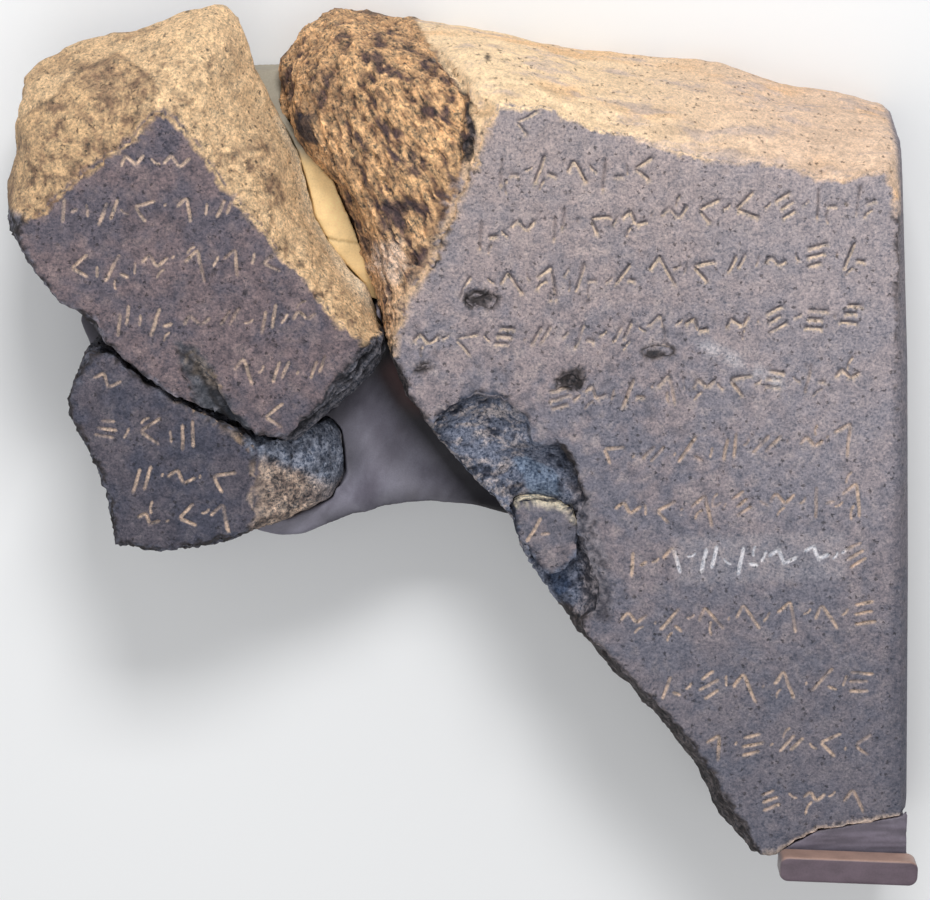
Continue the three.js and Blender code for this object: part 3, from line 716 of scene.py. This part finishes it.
def scar_colour(stone):
    points, relief, seed = stone.rest, stone.relief, stone.seed
    level = along(points, 8, 2.6)
    grain = stone.grain(3.4, 53, 3, 0.85, level)
    pale = stone.grain(2.8, 56, 3, 0.9, level) + 0.5 * relief
    colour = grade(SCAR_DARK, SCAR, ramp(-1.1, 0.6, grain + 0.5 * relief))
    colour = blend(colour, SCAR_TAN, ramp(0.25, 1.1, pale) * ramp(34, 10, points[:, 0]) * 0.85)
    blue = SCAR_BLUE * (1 + 0.2 * grain)[:, None]
    colour = blend(colour, blue, stone.place(BLUE_FLAKE, 1) * 0.85)
    colour = blend(colour, FOOT_BLUE, stone.place(BLUE_FOOT, 1, 16) * 0.8)
    return blend(colour, SCAR_DARK, line(stone.wavy, SCAR_RIM, 3.5) * ramp(-0.9, 0.5, grain) * 0.75)


def large_colour(stone):
    points, seed = stone.rest, stone.seed
    fine = stone.grain(3.2, 50, 4, 0.85)
    broken = grade(BREAK_DARK, BREAK_LIGHT, ramp(-0.4, 1.1, fine))
    broken = blend(broken, rough_colour(stone), stone.place(ROUGH_MASS, 0.8, 200))
    broken = blend(broken, gold_colour(stone), stone.place(GOLD_TOP, 0.8, 200))
    broken = blend(broken, scar_colour(stone), stone.place(SCARS, 1, 34))
    face = stone.patina_and_shade()
    # painted light: the face lighter towards its top, and lighter towards its right side
    face = blend(face, FACE_TOP_LIT, ramp(-10, 150, points[:, 1]) * 0.55)
    lit = ramp(50, 150, points[:, 0]) * ramp(-90, 20, points[:, 1])
    face = blend(face, FACE_RIGHT_LIT, lit * 0.4)
    # painted shade on the dressed right side
    face = blend(face, PATINA_DARK_AND_SHADE * 0.8, stone.straight * 0.5)
    face = stone.inscribe(face, ramp(50, -20, points[:, 1]) * 0.85 + 0.1)
    # painted shade: dark inside the pits
    for middle, half in PITS:
        away = np.linalg.norm((points[:, :2] - middle) / half, axis=1) + 0.25 * fine
        face = blend(face, BREAK_DARK * 0.6, (1 - ramp(0.6, 1.1, away)) * 0.85)
    smear = line(points, SMEAR, 4.5) * ramp(-0.9, 0.8, layered(points, 5, seed + 54, 3, 0.8))
    face = blend(face, CHALK, smear * 0.45)
    chalk = area(points, CHALKED, 1.5)
    face = blend(face, CHALK, chalk * (0.1 + 0.9 * ramp(0, 0.35, stone.cut)))
    speckled = grade(SPECK_DARK, SPECK_PALE, ramp(-0.7, 0.9, fine))
    colour = stone.worn_border(broken, face)
    colour = blend(colour, speckled, stone.place(SPECKLED, 1.5, 12) * 0.85)
    edge = line(points, FACE_LEFT, 4) * ramp(-0.9, 0.5, fine)
    colour = blend(colour, EDGE_TAN, edge * 0.85)
    return blend(colour, EDGE_PINK, line(points, FOOT_LINE, 1.2) * 0.9)


# The upper left fragment.
FLAKED = [(-175, 80), (-175, 118), (-162, 122), (-149, 131), (-143, 139), (-128, 145), (-118, 140),
          (-113.5, 136), (-113, 124), (-140, 100), (-164, 80)]
FLAKE_STEP = [(-162, 122), (-149, 131), (-143, 139), (-128, 145), (-118, 140), (-113.5, 136),
              (-113, 127)]
UNDER_BAND = [(-72, 6), (-61, 17), (-51, 30), (-42, 39), (-30, 44), (-24, 36), (-60, -4)]
DARK_NICK = [(-172, 138), (-160, 138), (-158, 126), (-172, 122)]
FLAKE_LEDGE = [(-107, 42), (-99, 39), (-90, 24), (-76, 5), (-86, 1), (-98, 17)]
FLAKE_CRACK = [(-106, 39), (-99, 33), (-92, 19), (-84, 5)]
FACET_RIDGE = [(-117, 126), (-100, 143), (-84, 153)]
SMALL_CRACKS = [(-88, 110), (-82, 112), (-76, 111)]
WEDGE_SIDE = [(-66, 120), (-61, 108), (-57, 90), (-46, 70), (-34, 54)]
LEFT_EDGE = [(-180, 92), (-160, 87), (-145, 60), (-127, 47), (-106, 36), (-84, 15), (-64, 11),
             (-70, -10), (-180, 0)]


def upper_form(points, normals):
    level = along(points, 20, 3)
    band, left = area(points, UNDER_BAND, 1.5), area(points, LEFT_EDGE, 1.5)
    grainy = layered(points, 12, 311, 5, 0.6)
    striped = crags(along(points, 42, 7), 5, 312, 4, 0.65)
    streaky = layered(level, 8, 313, 4, 0.6)
    flaked = area(points, FLAKED, 0.8)
    amount = 0.7 * grainy * (1 - band) + 0.9 * striped * band + 0.35 * streaky * (1 - flaked)
    amount += 0.35 * crags(points, 2.6, 314, 2) * left + 0.9 * flaked
    return amount, signed(grainy * (1 - band) + striped * band)


def upper_colour(stone):
    points, relief, seed = stone.rest, stone.relief, stone.seed
    fine = stone.grain(3.2, 50, 3, 0.85)
    broad = layered(points, 16, seed + 51, 3, 0.7)
    tan = grade(TAN_DARK, TAN, ramp(-1.3, 1, fine + 0.6 * relief + 0.3 * broad))
    light = GOLD * (0.97, 0.92, 0.86) * (0.9 + 0.18 * np.clip(fine, -1.5, 1))[:, None]
    flaked = stone.place(FLAKED, 0.8)
    tan = blend(tan, light, (1 - flaked) * ramp(-1.3, 0.5, broad + fine * 0.6) * 0.75)
    tan = blend(tan, light * 1.04, line(points, FACET_RIDGE, 3) * 0.6)
    tan = blend(tan, TAN_DARK * 0.55, line(points, FLAKE_STEP, 1.5) * ramp(-1, 0.6, fine) * 0.7)
    # pale plaster residue on the side beside the pale fill, brightened lower down as painted light
    # where that side sits in shade
    plaster_and_light = line(points, WEDGE_SIDE, 6) * ramp(76, 62, points[:, 2])
    tan = blend(tan, PLASTER_AND_LIGHT, plaster_and_light * 0.85)
    tan = blend(tan, BREAK_DARK, line(points, SMALL_CRACKS, 1.3) * ramp(-0.6, 0.4, fine) * 0.8)
    dark = grade(BAND_DARK, BAND_PALE, ramp(-0.3, 1.4, relief + 0.6 * fine))
    tan = blend(tan, dark, stone.place(UNDER_BAND, 1))
    tan = blend(tan, SCAR_DARK, stone.place(DARK_NICK, 2, 14) * 0.9)
    low = grade(BREAK_DARK, PATINA_COOL, ramp(-0.5, 1.1, fine))
    tan = blend(tan, low, area(points, LEFT_EDGE, 1.5))
    face = stone.inscribe(stone.patina_and_shade() * (0.62, 0.57, 0.58), np.ones(len(points)))
    colour = stone.worn_border(tan, face)
    flake = grade(LEDGE_DARK, LEDGE_PALE, ramp(-0.9, 0.9, fine))
    colour = blend(colour, flake, stone.place(FLAKE_LEDGE, 1, 10) * 0.85)
    return blend(colour, BREAK_DARK * 0.5, line(points, FLAKE_CRACK, 1.4) * 0.8)


# The lower left fragment.
LIT_JOINT_RIDGE = [(-107, 21), (-91, 11.5), (-80, 3)]
RIGHT_FACETS = [(-80, 12), (-40, 16), (-40, -34), (-80, -34)]
FACET_FOOT = [(-84, -1), (-72, -4), (-63, -9), (-54, -14), (-40, -16), (-40, -40), (-84, -40)]
FACET_EDGE = [(-46, 2), (-44, -14), (-48, -22)]


def lower_form(points, normals):
    facets = area(points, RIGHT_FACETS, 2)
    grainy = layered(points, 7, 321, 5, 0.65)
    chipped = crags(points, 4, 322, 3, 0.6)
    amount = 0.6 * grainy * facets + 0.8 * chipped * (1 - facets)
    return amount, signed(grainy * facets + chipped * (1 - facets))


def lower_colour(stone):
    points, seed = stone.rest, stone.seed
    fine = stone.grain(2.8, 50, 3, 0.85)
    dark = grade(BREAK_DARK, PATINA_DARK_AND_SHADE, ramp(-0.5, 0.9, fine))
    granular = grade(GRAIN_DARK, GRAIN_PALE, ramp(-1.2, 1, fine))
    foot = grade(FACET_DARK, FACET_PALE, ramp(-1.1, 0.9, fine))
    foot = blend(foot, granular, ramp(-62, -50, points[:, 0]) * 0.6)
    granular = blend(granular, foot, stone.place(FACET_FOOT, 2.5))
    granular = blend(granular, FACET_RIM, line(points, FACET_EDGE, 1.4) * 0.6)
    broken = blend(dark, granular, stone.place(RIGHT_FACETS, 1.5))
    face = stone.inscribe(stone.patina_and_shade() * (0.38, 0.4, 0.46), np.ones(len(points)))
    # the tan ridge along the joint, lightened as a painted highlight from above
    lit_ridge = line(points, LIT_JOINT_RIDGE, 2.8) * ramp(-0.9, 0.4, fine)
    face = blend(face, TAN, lit_ridge * 0.85)
    return stone.worn_border(broken, face)


CHIP_SEAM = [(17, -20), (28, -19), (39, -21.5), (42, -27)]


def chip_form(points, normals):
    plain = layered(points, 6, 331, 4, 0.6)
    return 0.3 * plain, signed(plain)


def chip_colour(stone):
    points, seed = stone.rest, stone.seed
    fine = layered(points, 3, seed + 50, 3, 0.7)
    face = stone.inscribe(stone.patina_and_shade() * 0.88, np.ones(len(points)))
    side = grade(SCAR_DARK, SCAR, ramp(-0.3, 0.9, fine))
    colour = stone.worn_border(side, face)
    return blend(colour, PLASTER, line(points, CHIP_SEAM, 2.6) * ramp(-0.9, 0.4, fine))


# ---- fills

FILL_DARK = rgb(128, 127, 141)
FILL_SHADE = rgb(94, 91, 104)
FILL_PAINTED_SHADOW = rgb(26, 25, 30)
FILL_DEEP_SHADE = rgb(84, 81, 90)
FILL_STAIN = rgb(104, 70, 66)
CREAM = rgb(255, 224, 168)
CREAM_HIGHLIGHT = rgb(244, 236, 220)
CREAM_SHADE = rgb(156, 150, 136)
FOOT_GREY = rgb(112, 106, 120)


class Fill:
    """A moulded fill's CAD node, meshed finely and smoothed."""

    def __init__(self, node, rounds, edge=1.6):
        points, faces = cad_mesh(node)
        tags = kinds_of(points, faces)
        lengths = np.array([0, edge, 2.6, BACK_EDGE])
        points, faces, tags = refine(points, faces, tags, lambda middles, kind: lengths[kind])
        free = ~touched(faces, tags == BACK_TAG, len(points))
        self.points = smooth(points, faces, free.astype(float), rounds)
        self.faces, self.free = faces, free
        self.normals = normals_of(self.points, faces)

    def lift(self, amount):
        self.points = self.points + self.normals * (amount * self.free)[:, None]


WALL_SHADE = [(-27, 36), (-20, 19), (-10, 6), (3, -11), (17, -26)]
WALL_STAIN = [(-26, 24), (-20, 14), (-17, 12)]
LOWER_RIM_SHADE = [(-50, -31), (-30, -26), (-13, -25.5), (4, -27), (20, -30)]
SHADE_UNDER_STONES = [(-46, -8), (-56, 4), (-44, 22), (-30, 36)]
LEFT_GAP_SHADOW = [(-142, 52), (-130, 38), (-118, 28)]
LIT_STREAK = [(-46, 8), (-32, -8), (-22, -20)]


def joining_fill():
    fill = Fill("joining_fill", 5)
    points = fill.points
    swept = along(points, 60, 3)
    fill.lift(0.35 * layered(swept, 16, 401, 3) + 0.06 * layered(swept, 3, 402, 2))
    cloud = ramp(-1.3, 1.3, layered(swept, 18, 403, 5, 0.7))
    colour = grade(FILL_SHADE, FILL_DARK, cloud)
    # painted light: a lit streak across the middle of the fill
    colour = blend(colour, FILL_HIGHLIGHT, line(points, LIT_STREAK, 9) * 0.35)
    # painted shadow beside the large fragment and under the left fragments
    colour = blend(colour, FILL_PAINTED_SHADOW, np.minimum(1, 1.9 * line(points, WALL_SHADE, 17)) * 0.9)
    colour = blend(colour, FILL_PAINTED_SHADOW, line(points, SHADE_UNDER_STONES, 13) * 0.7)
    colour = blend(colour, FILL_STAIN, line(points, WALL_STAIN, 9) * 0.4)
    # painted shadow in the gap at the left and along the lower rim, and painted shade over the deeper
    # parts
    colour = blend(colour, FILL_PAINTED_SHADOW, np.minimum(1, 1.5 * line(points, LEFT_GAP_SHADOW, 16)) * 0.95)
    colour = blend(colour, FILL_PAINTED_SHADOW, line(points, LOWER_RIM_SHADE, 8) * 0.6)
    colour = blend(colour, FILL_DEEP_SHADE, ramp(34, 20, points[:, 2]) * 0.8)
    return fill, colour


WEDGE_HAIR = [(-57, 76), (-48, 74), (-40, 73)]
WEDGE_SEAM = [(-63, 97), (-60, 88), (-58, 78), (-52, 66), (-44, 55)]
SHADED_ABOVE = 106         # y past which the pale fill is sunken and greyed by painted shade


def upper_fill():
    fill = Fill("upper_fill", 4, 1.2)
    points = fill.points
    hair = line(points, WEDGE_HAIR, 0.9)
    fill.lift(0.5 * layered(points, 18, 411, 3) + 0.12 * layered(points, 4, 412, 2) - 0.5 * hair)
    cloud = ramp(-0.9, 0.9, layered(points, 14, 413, 4, 0.6))
    colour = grade(CREAM * 0.88, CREAM, cloud)
    # painted highlight along the edge next to the upper fragment
    colour = blend(colour, CREAM_HIGHLIGHT, line(points, WEDGE_SEAM, 2.2) * 0.8)
    colour = blend(colour, CREAM * 0.5, hair * 0.8)
    # painted shade: grey where the fill sinks away at the top
    colour = blend(colour, CREAM_SHADE, ramp(SHADED_ABOVE - 5, SHADED_ABOVE + 4, points[:, 1]))
    return fill, colour


def foot_fill():
    fill = Fill("foot_fill", 2)
    points = fill.points
    brushed = along(points, 2, 12)
    strokes = layered(brushed, 1.6, 421, 3, 0.7)
    fill.lift(0.09 * strokes + 0.15 * layered(points, 9, 422, 2))
    colour = grade(FOOT_GREY * 0.66, FOOT_GREY * 1.12, ramp(-0.9, 1, strokes))
    colour = blend(colour, FILL_SHADE, ramp(-150, -157, points[:, 1]) * 0.5)
    return fill, colour


# ---- bracket

BRACKET_PAINT = rgb(90, 78, 88)
BRACKET_TOP_LIT = rgb(168, 138, 126)
BRACKET_GREY = rgb(128, 120, 122)
LIP_DEPTH = 11.5         # the lip's thickness, out from the shelf
LIP_CORNER = 3.4
LIP_EDGE = 1.1           # rounding of the lip's edges
LIP_HIGH = 9.6           # the lip's height on the plan
LIP_TURN = math.radians(-2.3)
SHELF_THICK = 5.3
SHELF_INSET = 1.9        # how far the shelf's ends lie within the lip's
CORNER_STEPS = 10
EDGE_STEPS = 5


def plate(low, high, corner, edge):
    """A plate with round corners on the XY plan and rounded edges, as vertices and triangles."""
    (left, bottom, back), (right, top, front) = low, high
    turns = np.linspace(0, math.pi / 2, CORNER_STEPS)
    centres = [(right - corner, bottom + corner, -1), (right - corner, top - corner, 0),
               (left + corner, top - corner, 1), (left + corner, bottom + corner, 2)]
    angles = np.concatenate([turns + quarter * math.pi / 2 for *_, quarter in centres])
    middles = np.repeat([[x, y] for x, y, _ in centres], CORNER_STEPS, axis=0)
    ways = np.stack([np.cos(angles), np.sin(angles)], axis=1)
    bend = np.linspace(0, math.pi / 2, EDGE_STEPS)
    drawn_in = np.concatenate([edge * (1 - np.sin(bend)), edge * (1 - np.cos(bend))])
    rises = np.concatenate([back + edge * (1 - np.cos(bend)), front - edge * (1 - np.sin(bend))])
    rows = [np.column_stack([middles + ways * (corner - inward), np.full(len(ways), rise)])
            for inward, rise in zip(drawn_in, rises)]
    points = np.concatenate(rows + [[[*middles.mean(axis=0), back], [*middles.mean(axis=0), front]]])
    count, faces = len(ways), []
    for row in range(len(rows) - 1):
        for i in range(count):
            a, b = row * count + i, row * count + (i + 1) % count
            faces += [(a, b, b + count), (a, b + count, a + count)]
    first, last = len(points) - 2, len(points) - 1
    for i in range(count):
        following = (i + 1) % count
        faces += [(following, i, first),
                  ((len(rows) - 1) * count + i, (len(rows) - 1) * count + following, last)]
    return points, np.array(faces)


def joined(first, second):
    """Two closed solids made one by Blender's boolean, as vertices and triangles."""
    bodies = [plain_object(f"part_{i}", *body) for i, body in enumerate((first, second))]
    union = bodies[0].modifiers.new("union", "BOOLEAN")
    union.operation, union.solver, union.object = "UNION", "EXACT", bodies[1]
    bpy.context.view_layer.update()
    shown = bodies[0].evaluated_get(bpy.context.evaluated_depsgraph_get()).to_mesh()
    shown.calc_loop_triangles()
    points = np.array([vertex.co for vertex in shown.vertices]) / MM
    faces = np.array([triangle.vertices for triangle in shown.loop_triangles])
    for body in bodies:
        bpy.data.objects.remove(body)
    return points, faces


def bracket():
    low, high = [np.array(corner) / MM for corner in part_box("bracket")]
    lip, lip_faces = plate((low[0], low[1], high[2] - LIP_DEPTH),
                           (high[0], low[1] + LIP_HIGH, high[2]), LIP_CORNER, LIP_EDGE)
    middle = lip[:, :2].mean(axis=0)
    turn = np.array([[math.cos(LIP_TURN), math.sin(LIP_TURN)],
                     [-math.sin(LIP_TURN), math.cos(LIP_TURN)]])
    lip[:, :2] = (lip[:, :2] - middle) @ turn + middle
    shelf = plate((low[0] + SHELF_INSET, low[1] + 0.5, low[2]),
                  (high[0] - SHELF_INSET, low[1] + 0.5 + SHELF_THICK, high[2] - LIP_DEPTH + 2),
                  0.8, 0.5)
    points, faces = joined((lip, lip_faces), shelf)
    tags = np.zeros(len(faces), int)
    points, faces, _ = refine(points, faces, tags, lambda middles, kind: 6)
    normals = normals_of(points, faces)
    wear = layered(points, 7, 431, 4, 0.7)
    colour = grade(BRACKET_PAINT, BRACKET_PAINT * 1.25, ramp(-0.6, 1, wear))
    # painted highlight on the faces that look up
    colour = blend(colour, BRACKET_TOP_LIT, ramp(0.3, 0.8, normals[:, 1]) * 0.9)
    colour = blend(colour, BRACKET_GREY, ramp(0.5, 0.9, -normals[:, 0]) * 0.8)
    return points, faces, colour


# ---- materials


def feed(tree, socket, source):
    """A socket takes a link from another node's output, or a plain value."""
    if isinstance(source, bpy.types.NodeSocket):
        tree.links.new(source, socket)
    else:
        socket.default_value = source


def add(tree, kind, output, inputs=(), **settings):
    """A new node's output, with its settings and its inputs filled in."""
    made = tree.nodes.new("ShaderNode" + kind)
    for key, value in settings.items():
        setattr(made, key, value)
    for key, source in dict(inputs).items():
        feed(tree, made.inputs[key], source)
    return made.outputs[output]


def attribute(tree, name, output="Fac"):
    return add(tree, "Attribute", output, attribute_name=name)


def combine(tree, operation, first, second):
    return add(tree, "Math", 0, {0: first, 1: second}, operation=operation)


def between(tree, value, low, high, to_low, to_high):
    return add(tree, "MapRange", 0, {"Value": value, "From Min": low, "From Max": high,
                                     "To Min": to_low, "To Max": to_high})


def mixed(tree, share, under, over, how="MIX"):
    made = tree.nodes.new("ShaderNodeMix")
    made.data_type, made.blend_type = "RGBA", how
    feed(tree, made.inputs[0], share)
    feed(tree, made.inputs[6], under)
    feed(tree, made.inputs[7], over)
    return made.outputs[2]


def swing(tree, value, share):
    """A value between 0 and 1 made to swing about 0, times a share."""
    return combine(tree, "MULTIPLY", combine(tree, "SUBTRACT", value, 0.5), share)


def grains(tree, where, scale, detail=3.0, harsh=0.6):
    return add(tree, "TexNoise", "Fac", {"Vector": where, "Scale": scale, "Detail": detail,
                                        "Roughness": harsh})


def crystals(tree, where, scale, output):
    return add(tree, "TexVoronoi", output, {"Vector": where, "Scale": scale})


def new_material(name):
    material = bpy.data.materials.new(name)
    material.use_nodes = True
    tree = material.node_tree
    where = add(tree, "TexCoord", "Object")
    return material, tree, where, tree.nodes["Principled BSDF"]


def set_surface(tree, shader, colour, roughness, height, distance, strength, specular=0.35):
    feed(tree, shader.inputs["Base Color"], colour)
    feed(tree, shader.inputs["Roughness"], roughness)
    shader.inputs["Specular IOR Level"].default_value = specular
    bump = add(tree, "Bump", 0, {"Height": height, "Distance": distance, "Strength": strength})
    feed(tree, shader.inputs["Normal"], bump)


FIBRE_TURN = math.radians(-58)   # the way that the rough mass is torn


def basalt(name, contrast):
    """Grainy basalt: the piece's own tint, broken up by crystals, specks and small pits made dark with
    painted shade.
    """
    material, tree, where, shader = new_material(name)
    mottle = grains(tree, where, 300.0, 5.0, 0.75)
    lengthways = add(tree, "Mapping", 0, {"Vector": where, "Rotation": (0, 0, FIBRE_TURN),
                                          "Scale": (4, 1, 1)}, vector_type="TEXTURE")
    fibres = grains(tree, lengthways, 700.0, 3.0, 0.8)
    even = grains(tree, where, 1000.0, 3.0, 0.8)
    fibrous = attribute(tree, "fibre")
    speckle = combine(tree, "ADD", combine(tree, "MULTIPLY", fibres, fibrous),
                      combine(tree, "MULTIPLY", even, combine(tree, "SUBTRACT", 1.0, fibrous)))
    crystal = add(tree, "SeparateColor", "Red", {0: crystals(tree, where, 1250.0, "Color")})
    spread = swing(tree, mottle, 1.7)
    for source, share in ((speckle, 2.6), (crystal, 0.5)):
        spread = combine(tree, "ADD", spread, swing(tree, source, share))
    spread = combine(tree, "MULTIPLY", spread,
                     combine(tree, "MULTIPLY", attribute(tree, "grit"), contrast))
    channels = []
    for share in (1.12, 1.0, 0.86):
        value = combine(tree, "ADD", combine(tree, "MULTIPLY", spread, share), 1.0)
        channels.append(add(tree, "Clamp", 0, {0: value, 1: 0.2, 2: 2.2}))
    grain = add(tree, "CombineColor", 0, dict(enumerate(channels)))
    colour = mixed(tree, 1.0, attribute(tree, "tint", "Color"), grain, "MULTIPLY")
    cell = add(tree, "SeparateColor", "Green", {0: crystals(tree, where, 420.0, "Color")})
    ragged = combine(tree, "ADD", crystals(tree, where, 420.0, "Distance"),
                     swing(tree, speckle, 1.4))
    holes = combine(tree, "MULTIPLY", between(tree, ragged, 0.1, 0.3, 0.6, 0.0),
                    combine(tree, "GREATER_THAN", cell, 0.7))
    # painted shade: the small pits near black
    colour = mixed(tree, holes, colour, (0.02, 0.019, 0.022, 1))
    height = combine(tree, "ADD", combine(tree, "MULTIPLY", mottle, 0.6), speckle)
    height = combine(tree, "SUBTRACT", height, combine(tree, "MULTIPLY", holes, 0.5))
    set_surface(tree, shader, colour, between(tree, speckle, 0.3, 0.7, 0.72, 0.95), height,
                0.0008, 0.7)
    return material


def moulded(name, scale, roughness, depth):
    """A fill worked smooth by hand: its own tint with a faint cloud and a fine tooth."""
    material, tree, where, shader = new_material(name)
    cloud = grains(tree, where, scale, 5.0, 0.6)
    tooth = grains(tree, where, 1500.0, 2.0, 0.6)
    value = between(tree, cloud, 0.3, 0.7, 0.86, 1.14)
    value = combine(tree, "MULTIPLY", value, between(tree, tooth, 0.3, 0.7, 0.93, 1.07))
    grey = add(tree, "CombineColor", 0, {0: value, 1: value, 2: value})
    colour = mixed(tree, 1.0, attribute(tree, "tint", "Color"), grey, "MULTIPLY")
    rough = between(tree, cloud, 0.3, 0.7, roughness - 0.08, roughness + 0.1)
    height = combine(tree, "ADD", cloud, combine(tree, "MULTIPLY", tooth, 0.3))
    set_surface(tree, shader, colour, rough, height, depth, 0.5)
    return material


# ---- making the pieces


def plain_object(name, points, faces):
    mesh = bpy.data.meshes.new(name)
    mesh.vertices.add(len(points))
    mesh.vertices.foreach_set("co", (points * MM).astype(np.float32).ravel())
    mesh.loops.add(3 * len(faces))
    mesh.loops.foreach_set("vertex_index", faces.astype(np.int32).ravel())
    mesh.polygons.add(len(faces))
    mesh.polygons.foreach_set("loop_start", np.arange(0, 3 * len(faces), 3, dtype=np.int32))
    mesh.update(calc_edges=True)
    piece = bpy.data.objects.new(name, mesh)
    bpy.context.scene.collection.objects.link(piece)
    return piece


def make(name, node, slot, points, faces, material, tint, sharp=50, **shares):
    """A finished piece that stands for a CAD node, with its tint and other shares by vertex."""
    piece = plain_object(name, points, faces)
    mesh = piece.data
    mesh.polygons.foreach_set("use_smooth", np.ones(len(faces), bool))
    mesh.set_sharp_from_angle(angle=math.radians(sharp))
    layer = mesh.attributes.new("tint", "FLOAT_COLOR", "POINT")
    layer.data.foreach_set("color", np.column_stack([np.clip(tint, 0, 1), np.ones(len(tint))]).ravel())
    for share, values in shares.items():
        mesh.attributes.new(share, "FLOAT", "POINT").data.foreach_set("value", values)
    mesh.materials.append(material)
    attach(piece, "root")
    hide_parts(node)
    print(name, len(points), "vertices", len(faces), "triangles")
    return piece


STONES = [
    ("large_fragment", "fragment_a", 1, large_form, large_colour, 0.75),
    ("upper_fragment", "fragment_b1", 2, upper_form, upper_colour, 0.85),
    ("lower_fragment", "fragment_b2", 3, lower_form, lower_colour, 0.85),
    ("glued_chip", "refitted_chip", 4, chip_form, chip_colour, 0.75),
]


def make_stones():
    for name, node, seed, form, colour, contrast in STONES:
        stone = Stone(node, seed)
        large = node == "fragment_a"
        stone.dress(form, dressed_side if large else None)
        broken = np.where(stone.on_face, 0, ramp(0.5, 2.5, stone.below)) * (1 - stone.straight)
        rough = area(stone.rest, ROUGH_MASS, 2) * broken * large
        gold = area(stone.rest, GOLD_TOP, 2) * broken * large
        tan = broken * (node == "fragment_b1") * (1 - area(stone.rest, UNDER_BAND, 1))
        grit = 1 + 0.9 * broken - 1.3 * gold - 0.9 * tan - 0.2 * rough
        make(name, node, "basalt", stone.points, stone.faces, basalt(name, contrast), colour(stone),
             grit=grit, fibre=rough)


def make_fills():
    dark, pale = moulded("dark_fill", 45.0, 0.55, 0.0004), moulded("pale_fill", 60.0, 0.7, 0.0003)
    brushed = moulded("brushed_fill", 90.0, 0.5, 0.0003)
    for name, node, slot, form, material in [
            ("joining_web", "joining_fill", "dark_fill", joining_fill, dark),
            ("pale_wedge", "upper_fill", "pale_fill", upper_fill, pale),
            ("foot_block", "foot_fill", "dark_fill", foot_fill, brushed)]:
        fill, tint = form()
        make(name, node, slot, fill.points, fill.faces, material, tint)


def make_bracket():
    points, faces, tint = bracket()
    make("foot_bracket", "bracket", "bracket_paint", points, faces,
         moulded("bracket_paint", 120.0, 0.42, 0.0001), tint, sharp=40)


# ---- floor, lights and camera

AIM = Vector((0.0001, 0.001, 0.080))   # what the camera looks at, on the face
CAMERA_AWAY = 1.5
CAMERA_TILT = math.radians(12)         # from straight above, towards the top of the slab
VIEW_WIDTH = 0.3441                    # what the image's width takes in at that point
SENSOR = 36.0


def make_floor():
    mesh = bpy.data.meshes.new("floor")
    half = 4.0
    mesh.from_pydata([(-half, -half, 0), (half, -half, 0), (half, half, 0), (-half, half, 0)],
                     [], [(0, 1, 2, 3)])
    floor = bpy.data.objects.new("floor", mesh)
    bpy.context.scene.collection.objects.link(floor)
    material, tree, where, shader = new_material("floor")
    shader.inputs["Base Color"].default_value = (0.84, 0.86, 0.885, 1)
    shader.inputs["Roughness"].default_value = 0.9
    shader.inputs["Specular IOR Level"].default_value = 0.1
    mesh.materials.append(material)


def area_light(name, place, target, size, power, colour):
    light = bpy.data.lights.new(name, "AREA")
    light.shape, light.size, light.size_y = "RECTANGLE", size[0], size[1]
    light.energy, light.color = power, colour
    lamp = bpy.data.objects.new(name, light)
    bpy.context.scene.collection.objects.link(lamp)
    lamp.location = place
    lamp.rotation_mode = "QUATERNION"
    lamp.rotation_quaternion = (Vector(target) - Vector(place)).to_track_quat("-Z", "Y")


def make_lights():
    area_light("key", (0.1, 1.15, 1.15), (0, 0, 0.05), (0.55, 0.4), 16, (1.0, 0.985, 0.965))
    area_light("fill", (-0.3, -0.3, 1.9), (0, 0, 0.05), (1.6, 1.6), 10, (1.0, 0.995, 0.99))
    world = bpy.data.worlds.new("room")
    world.use_nodes = True
    backdrop = world.node_tree.nodes["Background"]
    backdrop.inputs["Color"].default_value = (1.0, 0.985, 0.965, 1)
    backdrop.inputs["Strength"].default_value = 0.44
    bpy.context.scene.world = world
    bpy.context.scene.view_settings.view_transform = "Standard"


def make_camera():
    lens = bpy.data.cameras.new("camera")
    lens.sensor_width = SENSOR
    lens.lens = SENSOR * CAMERA_AWAY / VIEW_WIDTH
    lens.clip_start, lens.clip_end = 0.05, 20
    camera = bpy.data.objects.new("camera", lens)
    bpy.context.scene.collection.objects.link(camera)
    back = Vector((0, math.sin(CAMERA_TILT), math.cos(CAMERA_TILT)))
    camera.location = AIM + back * CAMERA_AWAY
    camera.rotation_euler = (-CAMERA_TILT, 0, 0)
    bpy.context.scene.camera = camera


make_camera()
make_lights()
make_floor()
make_stones()
make_fills()
make_bracket()
